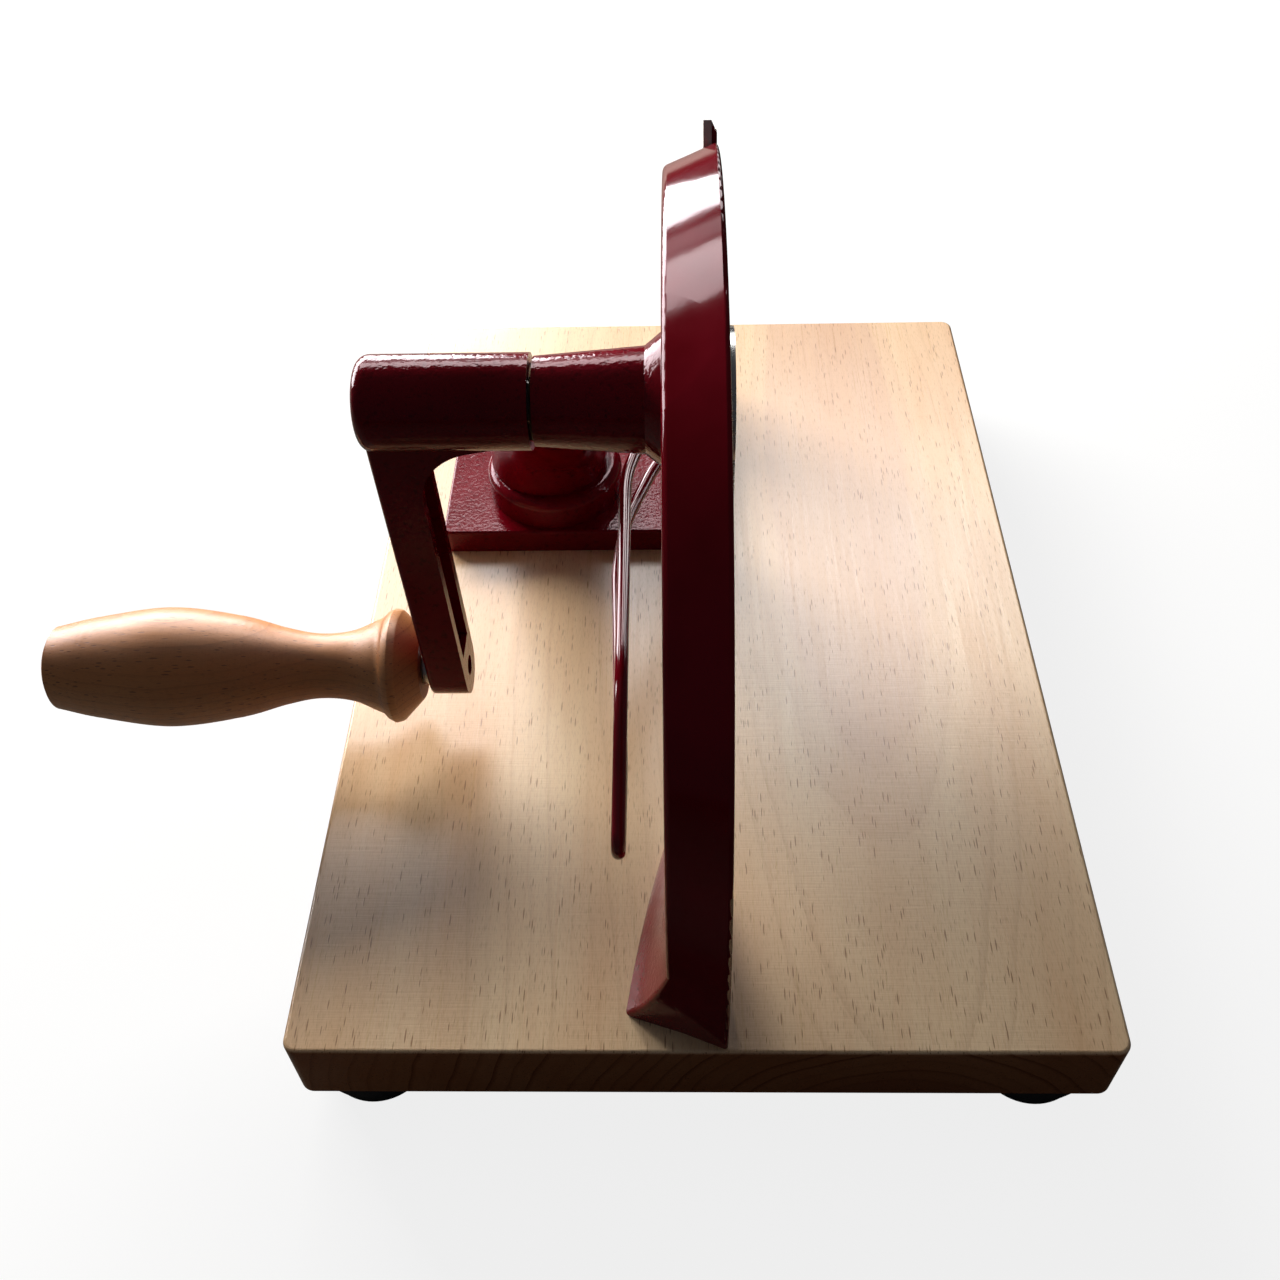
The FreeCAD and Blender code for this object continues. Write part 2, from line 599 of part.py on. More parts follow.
def make_rear_plate():
    """The hammered plate under the pillar, the rear leg and the guide post."""
    blank = box(("plate_left", "plate_front", BOARD_TOP), "arch_right - plate_left",
                "plate_back - plate_front", "plate_thickness")
    corners = rounded(blank, "plate_corner", lambda edge: abs(edge.tangentAt(0).z) > 0.9)
    soft = rounded(corners, "plate_edge", lambda edge: edge.BoundBox.ZMin > size(PLATE_TOP) - 0.1)
    holes = []
    for across, along in PLATE_SCREWS.values():
        holes.append(cylinder((across, along, f"{BOARD_TOP} - 1"), "cap_thread", "plate_thickness - 1"))
    for along in LEG_SCREWS.values():
        holes.append(cylinder((LEG_X, along, f"{BOARD_TOP} - 1"), "leg_thread + 0.2", "plate_thickness + 2"))
        holes.append(cone((LEG_X, along, BOARD_TOP), "leg_head + 0.2", "leg_thread + 0.2",
                          "leg_head_height + 0.2"))
    under_pillar = ("pillar_x", "pillar_y")
    holes.append(cylinder((*under_pillar, f"{BOARD_TOP} - 1"), "pillar_thread + 0.2", "plate_thickness + 2"))
    holes.append(cone((*under_pillar, BOARD_TOP), "pillar_head + 0.2", "pillar_thread + 0.2",
                      "pillar_head_height + 0.2"))
    holes.append(cylinder(("post_x", "post_y", f"{PLATE_TOP} - post_sunk"), "post_radius", "post_sunk + 1"))
    return piece("rear_plate", cut(soft, *holes))


def make_stand_screws():
    """Flat screws from under the rear plate, up into the arch's rear leg and the pillar."""
    for name, along in LEG_SCREWS.items():
        flat_screw(f"leg_screw_{name}", "leg_thread", "leg_length", "leg_head", "leg_head_height",
                   (LEG_X, along, BOARD_TOP))
    return flat_screw("pillar_screw", "pillar_thread", "pillar_length", "pillar_head", "pillar_head_height",
                      ("pillar_x", "pillar_y", BOARD_TOP))


# Bearings
def make_bearings():
    """Bronze bushes at both ends of the boss, with a thrust washer beside each."""
    bush = ("shaft_radius + bush_wall", "shaft_radius + running", "bush_length", ALONG_X)
    axis = ("crank_y", "crank_z")
    web = "arch_left + arch_web"
    piece("bush_outer", ring(("boss_end", *axis), *bush))
    piece("bush_inner", ring((f"{web} - bush_length", *axis), *bush))
    hole = "shaft_radius + 0.3"
    outer = ring(("boss_end - outer_washer", *axis), "boss_radius - 1.5", hole, "outer_washer", ALONG_X)
    piece("thrust_washer_outer", outer)
    inner = ring((web, *axis), "carrier_neck - 1", hole, "inner_washer", ALONG_X)
    return piece("thrust_washer_inner", inner)


# Crank
PIN_Z = "crank_z - throw"
SHAFT_START = "hub_left + hub_wall"
SHAFT_END = "blade_left - 3.4"
COLLAR_END = "grip_inner + collar_reach"
SET_SCREW = ("hub_left + set_reach", "crank_y + shaft_radius - 1", "crank_z")
KEY_START = ("carrier_left + 0.4", "crank_y - key_width / 2", "crank_z + shaft_radius - key_sunk")


def make_crank_arm():
    """The crank casting: hub, channel arm open towards the arch, and the round end that holds the spindle."""
    hub = cylinder(("hub_left", "crank_y", "crank_z"), "hub_radius", "hub_right - hub_left", ALONG_X)
    hub = rounded(hub, "hub_round", lambda edge: edge.Closed and edge.CenterOfMass.x < size("hub_left + 1"))
    end = f"{PIN_Z} - arm_below"
    slab = plate("XZ_Plane", [
        ("arm_top_left", "crank_z"), ("arm_low_left", end), ("arm_low_right", end),
        ("arm_top_right", "crank_z - hub_radius"), ("arm_top_right + arm_reach", "crank_z - 8"),
        ("arm_top_right + arm_reach", "crank_z"),
    ], "arm_depth", "-crank_y", True)
    slab = rounded(slab, "arm_fillet", is_arm_crook)
    slab = rounded(slab, "arm_depth / 2 - 0.1", is_arm_end)
    slab = rounded(slab, "arm_edge", is_arm_edge)
    low, high = f"{PIN_Z} + channel_end", "crank_z - hub_radius - 8"
    pocket = plate("XZ_Plane", [
        ("arm_top_left + arm_skin + 1.2", high), ("arm_low_left + arm_skin", low),
        ("arm_low_right + 20", low), ("arm_low_right + 20", high),
    ], "arm_depth - 2 * arm_wall", "-crank_y", True)
    pocket = rounded(pocket, "2", is_pocket_corner)
    shaft_hole = cylinder((SHAFT_START, "crank_y", "crank_z"), "shaft_radius", "60", ALONG_X)
    pin_hole = cylinder(("arm_low_left - 5", "crank_y", PIN_Z), "spindle_thread", "30", ALONG_X)
    seat = cylinder((f"{COLLAR_END} - 5", "crank_y", PIN_Z), "collar_radius + 0.9", "5", ALONG_X)
    tap = cylinder(SET_SCREW, "set_thread", "12", FACING_BACK)
    return piece("crank_arm", cut(fuse(hub, slab), pocket, shaft_hole, pin_hole, seat, tap))


def is_arm_crook(edge):
    """The edge where the arm's inner face meets the underside of the hub."""
    spot = edge.CenterOfMass
    at_crook = abs(spot.x - size("arm_top_right")) < 0.1 and spot.z < size("crank_z - 5")
    return abs(edge.tangentAt(0).y) > 0.9 and at_crook


def is_arm_end(edge):
    """The two edges across the arm's bottom, at its front and at its back."""
    at_bottom = abs(edge.CenterOfMass.z - size(f"{PIN_Z} - arm_below")) < 0.1
    return at_bottom and abs(edge.tangentAt(0).y) < 0.1


def is_arm_edge(edge):
    """The edges about the arm's outer face, but for its hidden top."""
    share = (size("crank_z") - edge.CenterOfMass.z) / size("throw + arm_below")
    face = size("arm_top_left") + share * size("arm_low_left - arm_top_left")
    return abs(edge.CenterOfMass.x - face) < 0.05 and edge.CenterOfMass.z < size("crank_z - 1")


def is_pocket_corner(edge):
    """The edges round the channel's floor."""
    return abs(edge.tangentAt(0).y) < 0.1 and edge.BoundBox.XMax < size("arm_low_right")


def make_shaft():
    """The crank shaft, its key for the blade carrier, the carrier's end screw and the hub's set screw."""
    start = (SHAFT_START, "crank_y", "crank_z")
    shaft = cylinder(start, "shaft_radius", f"{SHAFT_END} - ({SHAFT_START})", ALONG_X)
    shaft = rounded(shaft, "0.6", lambda edge: edge.Closed)
    keyway = box(KEY_START, "20", "key_width", "4")
    end_tap = cylinder((f"{SHAFT_END} - 12", "crank_y", "crank_z"), "end_thread", "14", ALONG_X)
    dimple = cone(SET_SCREW, "set_point", "set_thread + 0.1", "1.4", FACING_BACK)
    piece("crank_shaft", cut(shaft, keyway, end_tap, dimple))
    piece("carrier_key", box(KEY_START, "key_length", "key_width", "4"))
    flat_screw("carrier_screw", "end_thread", "end_length", "end_head", "end_head_height",
               ("blade_left", "crank_y", "crank_z"), FACING_LEFT)
    profile = [("0", "0"), ("0", "set_point"), ("1.4", "set_thread"), ("set_length", "set_thread"),
               ("set_length", "0")]
    return piece("hub_set_screw", turned(profile, SET_SCREW, FACING_BACK))


def make_carrier():
    """The flanged carrier, keyed to the shaft inside the arch's recess, that the blade is screwed to."""
    face, shaft_end = "blade_left - carrier_left", f"{SHAFT_END} - carrier_left"
    screw_hole = "shaft_radius - 3.2"
    profile = [
        ("0", "shaft_radius"), ("0", "carrier_neck"), ("2.6", "carrier_neck"), ("2.6", "carrier_radius"),
        (face, "carrier_radius"), (face, "end_head + 0.2"), (f"{face} - 3", screw_hole),
        (shaft_end, screw_hole), (shaft_end, "shaft_radius")]
    body = turned(profile, ("carrier_left", "crank_y", "crank_z"))
    keyway = box(("carrier_left - 1", "crank_y - key_width / 2", "crank_z"), "key_length + 1.4", "key_width",
                 "shaft_radius - key_sunk + 4")
    taps = []
    for n in range(3):
        taps.append(cylinder(("blade_left - 6", *blade_screw_spot(n)), "blade_thread", "7", ALONG_X))
    return piece("blade_carrier", cut(body, keyway, *taps))


def blade_screw_spot(n):
    """The place of one of the blade's three screws on their circle."""
    turn = 90 + 120 * n
    return (f"crank_y + blade_bolt_circle * cos({turn})", f"crank_z + blade_bolt_circle * sin({turn})")


# Sickle blade
def blade_wire(across, inset):
    """The blade's outline in the plane X = across, its cutting edge drawn in by the inset."""
    axis = point("0", "crank_y", "crank_z")
    tip, heel, root = size("blade_tip"), size("blade_heel"), size("blade_root")
    sweep, lead, steps = size("blade_sweep"), 1.6, 8

    def spot(radius, degrees):
        turn = math.radians(degrees + size("blade_rest"))
        return Vector(across, axis.y + radius * math.cos(turn), axis.z + radius * math.sin(turn))

    def curve(spots):
        spline = Part.BSplineCurve()
        spline.interpolate(spots)
        return spline.toShape()

    edge = []
    for n in range(steps + 1):
        share = n / steps
        edge.append(spot(heel + (tip - heel) * (1 - share ** 1.25) - inset, lead - sweep * share))
    back = [spot(tip - 7.5 - inset, lead + 0.5), spot(tip - 13, -7), spot(tip - 29, -19), spot(tip - 58, -33),
            spot(tip - 88, -43), spot(root + 3, -38), spot(root, -12)]
    heel_bend = [edge[-1], spot(root + 9, lead - sweep - 17), spot(root, lead - sweep - 48)]
    round_root = Part.Arc(heel_bend[-1], spot(root, 130), back[-1]).toShape()
    tip_end = Part.LineSegment(back[0], edge[0]).toShape()
    return Part.Wire([curve(edge), curve(heel_bend), round_root, curve(back[::-1]), tip_end])


def make_blade():
    """The sickle blade, flat on its right side and bevelled along its outer edge on the left."""
    left = size("blade_left")
    right = left + size("blade_thickness")
    land = right - size("bevel_land")
    bevel = Part.makeLoft([blade_wire(left, size("blade_bevel")), blade_wire(land, 0)], True, True)
    flat = Part.Face(blade_wire(land, 0)).extrude(Vector(right - land, 0, 0))
    sickle = own_shape(flat.fuse(bevel).removeSplitter())
    root = cylinder(("blade_left", "crank_y", "crank_z"), "blade_root", "blade_thickness", ALONG_X)
    holes = []
    for n in range(3):
        spot = ("blade_left", *blade_screw_spot(n))
        holes.append(cone(spot, "blade_thread", "blade_head", "blade_thickness", ALONG_X))
    piece("sickle_blade", cut(fuse(sickle, root), *holes))
    for n in range(3):
        spot = ("blade_left + blade_thickness", *blade_screw_spot(n))
        flat_screw(f"blade_screw_{n + 1}", "blade_thread", "blade_screw_length", "blade_head",
                   "blade_thickness", spot, FACING_LEFT)


# Grip
# Radius of the grip along it from its outer end: its belly and neck, and the bead beside the arm
GRIP_BELLY = [(3, 12.6), (16, 15.4), (37, 18), (58, 15.4), (72, 11.6), (82, 9.8), (92, 10.6), (101, 14.2)]
GRIP_BEAD = [(101, 14.2), (102, 14.6), (103.4, 16.2), (105.4, 17.2), (107.4, 16.6)]


def make_grip():
    """The turned beech grip on two brass sleeves, spinning on a steel spindle screwed into the arm."""
    end = size("grip_inner - grip_outer")
    spline = Part.BSplineCurve()
    spline.interpolate([Vector(along, radius, 0) for along, radius in GRIP_BELLY])
    corners = [Vector(along, radius, 0) for along, radius in [*GRIP_BEAD, (end, 10.2), (end, 0)]]
    edges = [Part.Arc(Vector(0, 0, 0), Vector(0.9, 7.4, 0), Vector(3, 12.6, 0)).toShape(), spline.toShape()]
    for near, far in zip(corners, corners[1:]):
        edges.append(Part.LineSegment(near, far).toShape())
    edges.append(Part.LineSegment(corners[-1], Vector(0, 0, 0)).toShape())
    wood = Part.Face(Part.Wire(edges)).revolve(Vector(0, 0, 0), Vector(1, 0, 0), 360)
    wood.translate(point("grip_outer", "crank_y", PIN_Z))
    axis = ("crank_y", PIN_Z)
    bore = cylinder(("grip_inner - grip_bore_depth", *axis), "grip_bore", "grip_bore_depth + 6", ALONG_X)
    piece("grip", cut(own_shape(wood), bore))
    sleeve = ("grip_bore", "spindle_radius + running", "grip_sleeve", ALONG_X)
    piece("grip_bush_inner", ring(("grip_inner - grip_sleeve", *axis), *sleeve))
    piece("grip_bush_outer", ring(("grip_inner - 66", *axis), *sleeve))
    groove = "spindle_radius - spindle_groove"
    profile = [
        ("0", "0"), ("0", "spindle_radius - 0.6"), ("0.6", "spindle_radius"), ("2", "spindle_radius"),
        ("2", groove), ("3.2", groove), ("3.2", "spindle_radius"), ("70", "spindle_radius"),
        ("70", "collar_radius"), ("72.1", "collar_radius"), ("72.1", "spindle_thread"),
        ("80.5", "spindle_thread"), ("80.5", "0")]
    piece("grip_spindle", turned(profile, ("grip_inner - 69.7", *axis)))
    clip = ring(("grip_inner - 67.6", *axis), "spindle_radius + 0.9", groove, "1", ALONG_X)
    return piece("spindle_ring", clip)


# Thickness guide
def bent_bar(route, bend, radius):
    """A round bar along a route of straight runs joined by tangent arcs."""
    edges = []
    start = route[0]
    for before, corner, after in zip(route, route[1:], route[2:]):
        back_in, onward = before - corner, after - corner
        half_turn = (math.pi - back_in.getAngle(onward)) / 2
        back = min(0.45 * min(back_in.Length, onward.Length), bend * math.tan(half_turn))
        inner_radius = back / math.tan(half_turn)
        near, far = corner + back_in.normalize() * back, corner + onward.normalize() * back
        inward = (back_in + onward).normalize()
        middle = corner + inward * inner_radius * (1 / math.cos(half_turn) - 1)
        edges.append(Part.LineSegment(start, near).toShape())
        edges.append(Part.Arc(near, middle, far).toShape())
        start = far
    edges.append(Part.LineSegment(start, route[-1]).toShape())
    path = Part.Wire(edges)
    section = Part.Wire(Part.makeCircle(radius, route[0], route[1] - route[0]))
    return path.makePipeShell([section], True, False)


# The guide bar's corners from the post's axis, and the radius of its gentle bends
GUIDE_ROUTE = [(0, 0, 101), (-8, -12, 101), (-20, -38, 101), (-19.3, -128, 101), (-19.8, -162.8, 82.5),
               (-20, -159.6, 74.8), (-19.9, -134, 79.6), (-22.5, -66, 82.8), (-20.7, -44, 82.8),
               (-11, -15, 82.8), (0, 0, 82.8)]
GUIDE_BEND = 60


def make_guide():
    """The bent-bar guide: its loop faces the food, and its two ends are welded to a sleeve on the post."""
    post = point("post_x", "post_y", "0")
    bar = bent_bar([post + Vector(*spot) for spot in GUIDE_ROUTE], GUIDE_BEND, size("guide_bar"))
    sleeve = cylinder(("post_x", "post_y", "sleeve_low"), "sleeve_radius", "sleeve_high - sleeve_low")
    below = ("post_x", "post_y", "sleeve_low - 1")
    bore = cylinder(below, "post_radius + running", "sleeve_high - sleeve_low + 2")
    piece("thickness_guide", cut(fuse(own_shape(bar), sleeve), bore))
    start = f"({PLATE_TOP} - post_sunk)"
    flange_top = "post_sunk + post_flange_height"
    step, top = f"sleeve_low - 1.2 - {start}", f"sleeve_high + 12 - {start}"
    profile = [
        ("0", "0"), ("0", "post_radius"), ("post_sunk", "post_radius"), ("post_sunk", "post_flange"),
        (flange_top, "post_flange"), (flange_top, "post_radius + post_step"),
        (step, "post_radius + post_step"), (step, "post_radius"), (f"{top} - 1", "post_radius"),
        (top, "post_radius - 1"), (top, "0")]
    piece("guide_post", turned(profile, ("post_x", "post_y", start), UPRIGHT))
    washer = ("guide_washer", "post_radius", "washer_thickness")
    piece("guide_washer_low", ring(("post_x", "post_y", "sleeve_low - 1.2"), *washer))
    piece("guide_washer_high", ring(("post_x", "post_y", "sleeve_high + 0.2"), *washer))
    return make_lock_knob()


def make_lock_knob():
    """The fluted knob on the post's top that clamps the guide."""
    hole = "post_radius + running"
    profile = [
        ("0", hole), ("0", "knob_neck"), ("2", "knob_neck"), ("2", "knob_radius"),
        ("knob_height - 1.5", "knob_radius"), ("knob_height", "knob_radius - 2"), ("knob_height", hole)]
    knob = turned(profile, ("post_x", "post_y", "sleeve_high + 1.5"), UPRIGHT)
    flutes = []
    for n in range(8):
        across = f"post_x + (knob_radius + 0.7) * cos({45 * n})"
        along = f"post_y + (knob_radius + 0.7) * sin({45 * n})"
        flutes.append(cylinder((across, along, "sleeve_high + 3"), "knob_flute", "knob_height + 3.5"))
    return piece("guide_lock_knob", cut(knob, *flutes))


# Making, checking and writing every piece
make_board()
make_feet()
make_frame_screws()
make_arch()
make_shoulder_tab()
make_rear_plate()
make_stand_screws()
make_bearings()
make_crank_arm()
make_shaft()
make_carrier()
make_blade()
make_grip()
make_guide()
doc.recompute()

for thing in doc.Objects:
    if "Invalid" in thing.State or "Error" in thing.State:
        raise SystemExit(f"{thing.Label} did not build: {thing.State}")
for made in pieces:
    shape = made.Shape
    if shape.isNull() or not shape.isValid() or len(shape.Solids) != 1:
        raise SystemExit(f"{made.Label} is not one sound solid")
for made in pieces:
    made.Shape.exportStep(f"parts/{made.Label}.step")
print(len(pieces), "pieces")
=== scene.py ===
"""Looks of a hand-cranked frozen meat slicer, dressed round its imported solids.

Each sub-assembly is a class that holds its sizes in millimetres, works out its own
surfaces with numpy and gives its solids their finish. Each finish is a frozen
dataclass whose patterns are drawn on object coordinates, in millimetres.
"""

import logging
import math
from dataclasses import dataclass, field
from enum import Enum
from typing import Any, Iterable, Optional, Union

import bmesh
import bpy
import numpy as np
from mathutils import Matrix, Vector


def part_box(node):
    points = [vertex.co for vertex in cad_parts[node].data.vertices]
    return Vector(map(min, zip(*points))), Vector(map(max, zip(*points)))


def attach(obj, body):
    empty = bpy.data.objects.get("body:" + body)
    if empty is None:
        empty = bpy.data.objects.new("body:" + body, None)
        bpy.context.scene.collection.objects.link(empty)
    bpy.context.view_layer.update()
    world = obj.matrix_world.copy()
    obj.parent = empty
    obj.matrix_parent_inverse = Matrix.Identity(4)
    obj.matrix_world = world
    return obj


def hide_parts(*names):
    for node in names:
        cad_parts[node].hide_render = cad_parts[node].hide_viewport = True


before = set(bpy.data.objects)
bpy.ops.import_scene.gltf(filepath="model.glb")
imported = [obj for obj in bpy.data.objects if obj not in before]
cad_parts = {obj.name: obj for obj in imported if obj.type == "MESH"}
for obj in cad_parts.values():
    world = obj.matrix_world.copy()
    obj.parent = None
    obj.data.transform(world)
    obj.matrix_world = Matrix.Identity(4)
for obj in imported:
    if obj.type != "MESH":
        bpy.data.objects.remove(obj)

LOG = logging.getLogger("slicer")
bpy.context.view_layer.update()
MM = 0.001
MERGE_DISTANCE = 1e-6
FULL_TURN = 2 * math.pi

Socket = bpy.types.NodeSocket
Tree = bpy.types.NodeTree
Piece = bpy.types.Object
Span = tuple[float, float]
Size = tuple[float, float, float]


# Colours and nodes


def colour(code: str) -> tuple[float, float, float, float]:
    """Turns an sRGB hex code into linear light, by the standard's own curve.

    Args:
        code: six hex digits after a hash.

    Returns:
        Linear red, green and blue, and an alpha of one.
    """
    parts = [int(code[at : at + 2], 16) / 255 for at in (1, 3, 5)]
    linear = [p / 12.92 if p <= 0.04045 else ((p + 0.055) / 1.055) ** 2.4 for p in parts]
    return (linear[0], linear[1], linear[2], 1.0)


def add(
    tree: Tree, kind: str, inputs: Optional[dict[Any, Any]] = None, **settings: Any
) -> bpy.types.Node:
    """Adds one node with its settings and links.

    Args:
        tree: the node tree that gets the node.
        kind: the node's type name, without its ShaderNode prefix.
        inputs: an output socket to link or a plain value, by input name or number.
        settings: the node's own attributes.

    Returns:
        The new node.
    """
    made = tree.nodes.new("ShaderNode" + kind)
    for name, value in settings.items():
        setattr(made, name, value)
    for name, value in (inputs or {}).items():
        if isinstance(value, bpy.types.NodeSocket):
            tree.links.new(value, made.inputs[name])
        else:
            made.inputs[name].default_value = value
    return made


class Grain(Enum):
    """Which way a piece of wood's fibres run."""

    BACKWARD = "y"
    ACROSS = "x"


class Cast(Enum):
    """How coarse the sprayed enamel's orange peel is on a casting.

    A mixed casting is coarse on its left and filed smooth on its right.
    """

    SMOOTH = "smooth"
    PEELED = "peeled"
    MIXED = "mixed"


class Finish:
    """A real material. Its subclass draws the nodes, and the material is made once."""

    _made: dict[Any, bpy.types.Material] = {}

    def title(self) -> str:
        """The material's name."""
        raise NotImplementedError

    def paint(self, tree: Tree, spot: Socket, face: Socket) -> Socket:
        """Draws the finish.

        Args:
            tree: the material's nodes.
            spot: the place on the object, in millimetres.
            face: the direction that the surface faces, on the object.

        Returns:
            The finished shader.
        """
        raise NotImplementedError

    def material(self) -> bpy.types.Material:
        """Makes the material, or gives the one made before.

        Returns:
            The Blender material.
        """
        if self not in Finish._made:
            made = bpy.data.materials.new(self.title())
            made.use_nodes = True
            tree = made.node_tree
            tree.nodes.clear()
            place = add(tree, "TexCoord")
            inputs = {0: place.outputs["Object"], "Scale": 1 / MM}
            spot = add(tree, "VectorMath", inputs, operation="SCALE")
            shader = self.paint(tree, spot.outputs[0], place.outputs["Normal"])
            add(tree, "OutputMaterial", {"Surface": shader})
            Finish._made[self] = made
        return Finish._made[self]


def stretched(tree: Tree, spot: Socket, cell: Union[float, Size]) -> Socket:
    """Coordinates in which a cell of a pattern is one unit.

    Args:
        tree: the node tree.
        spot: the place in millimetres.
        cell: the cell's length along X, Y and Z in millimetres, or one length for all three.

    Returns:
        The coordinates.
    """
    size = cell if isinstance(cell, tuple) else (cell,) * 3
    return add(tree, "VectorMath", {0: spot, 1: size}, operation="DIVIDE").outputs[0]


def noise(
    tree: Tree, spot: Socket, cell: Union[float, Size],
    detail: float = 2.0, rough: float = 0.5, warp: float = 0.0,
) -> Socket:
    """Soft noise of 0 to 1.

    Args:
        tree: the node tree.
        spot: the place in millimetres.
        cell: the size of its cells, as for stretched.
        detail: the number of finer layers.
        rough: the strength of each finer layer.
        warp: how far the noise bends itself.

    Returns:
        The noise.
    """
    inputs = {"Vector": stretched(tree, spot, cell), "Scale": 1.0, "Detail": detail,
              "Roughness": rough, "Distortion": warp}
    return add(tree, "TexNoise", inputs).outputs["Fac"]


def between(tree: Tree, value: Socket, span: Span, out: Span = (0.0, 1.0)) -> Socket:
    """Spreads a span of a value over the given outputs, and holds it at its ends.

    Args:
        tree: the node tree.
        value: the value to spread.
        span: where it starts and ends.
        out: what comes out there.

    Returns:
        The spread value.
    """
    inputs = {"Value": value, "From Min": span[0], "From Max": span[1],
              "To Min": out[0], "To Max": out[1]}
    return add(tree, "MapRange", inputs, clamp=True).outputs[0]


def blended(tree: Tree, share: Any, first: Any, second: Any, how: str = "MIX") -> Socket:
    """Mixes two colours, each a hex code or a socket.

    A Mix node takes colours at its inputs 6 and 7 and gives them at its output 2.

    Args:
        tree: the node tree.
        share: how much of the second shows, from 0 to 1.
        first: the colour below.
        second: the colour above.
        how: the blend type.

    Returns:
        The mixed colour.
    """
    node = add(tree, "Mix", {"Factor": share}, data_type="RGBA", blend_type=how)
    for slot, value in ((6, first), (7, second)):
        if isinstance(value, str):
            node.inputs[slot].default_value = colour(value)
        else:
            tree.links.new(value, node.inputs[slot])
    return node.outputs[2]


def reckon(tree: Tree, how: str, first: Any, second: Any = 0.0) -> Socket:
    """One sum on two numbers or sockets."""
    return add(tree, "Math", {0: first, 1: second}, operation=how).outputs[0]


def dented(tree: Tree, height: Socket, depth_mm: float, under: Optional[Socket] = None) -> Socket:
    """Turns a height into a bumped normal.

    Args:
        tree: the node tree.
        height: the height, from 0 to 1.
        depth_mm: the depth that a height of 1 stands for.
        under: the bump that it lies on.

    Returns:
        The normal.
    """
    inputs: dict[Any, Any] = {"Height": height, "Distance": depth_mm * MM, "Strength": 1.0}
    if under is not None:
        inputs["Normal"] = under
    return add(tree, "Bump", inputs).outputs[0]


# Finishes


@dataclass(frozen=True)
class Enamel(Finish):
    """Alkyd gloss enamel sprayed on grey cast iron: deep crimson and wet-looking.

    On a rough casting the paint follows the sand's dimples, so its gloss breaks up into glints.
    """

    cast: Cast = Cast.SMOOTH
    deep: str = "#60020d"
    bright: str = "#700516"
    shade_mm: float = 26.0
    shade_span: Span = (0.35, 0.65)
    flow_mm: float = 9.0
    flow_depth_mm: float = 0.04
    peel_mm: float = 1.4
    peel_depth_mm: float = 0.11
    pit: str = "#3c0209"
    pit_span: Span = (0.42, 0.3)
    pit_share: float = 0.5
    filed_from_mm: Span = (31.0, 34.0)
    filed_peel: float = 0.05
    ior: float = 1.52
    rough_span: Span = (0.3, 0.7)
    rough: Span = (0.08, 0.13)
    shine: str = "#e8c8ce"
    shine_level: float = 0.28

    def title(self) -> str:
        """The material's name."""
        return f"crimson_gloss_enamel_{self.cast.value}"

    def paint(self, tree: Tree, spot: Socket, face: Socket) -> Socket:
        """Draws slow waves of paint on the casting's skin, with a finer peel where it is coarse.

        Args:
            tree: the material's nodes.
            spot: the place on the object, in millimetres.
            face: the direction that the surface faces; not used.

        Returns:
            The shader.
        """
        shade = noise(tree, spot, self.shade_mm, detail=3.0)
        base = blended(tree, between(tree, shade, self.shade_span), self.deep, self.bright)
        bump = dented(tree, noise(tree, spot, self.flow_mm, detail=1.0), self.flow_depth_mm)
        if self.cast is not Cast.SMOOTH:
            peel = noise(tree, spot, self.peel_mm, detail=1.5, rough=0.55, warp=0.3)
            pits = between(tree, peel, self.pit_span)
            if self.cast is Cast.MIXED:
                across = add(tree, "SeparateXYZ", {0: spot}).outputs["X"]
                coarse = between(tree, across, self.filed_from_mm, (1.0, 0.0))
                height = between(tree, across, self.filed_from_mm, (1.0, self.filed_peel))
                pits = reckon(tree, "MULTIPLY", pits, coarse)
                peel = reckon(tree, "MULTIPLY", peel, height)
            base = blended(tree, reckon(tree, "MULTIPLY", pits, self.pit_share), base, self.pit)
            bump = dented(tree, peel, self.peel_depth_mm, bump)
        inputs = {
            "Base Color": base, "Roughness": between(tree, shade, self.rough_span, self.rough),
            "IOR": self.ior, "Specular IOR Level": self.shine_level,
            "Specular Tint": colour(self.shine), "Normal": bump,
        }
        return add(tree, "BsdfPrincipled", inputs).outputs[0]


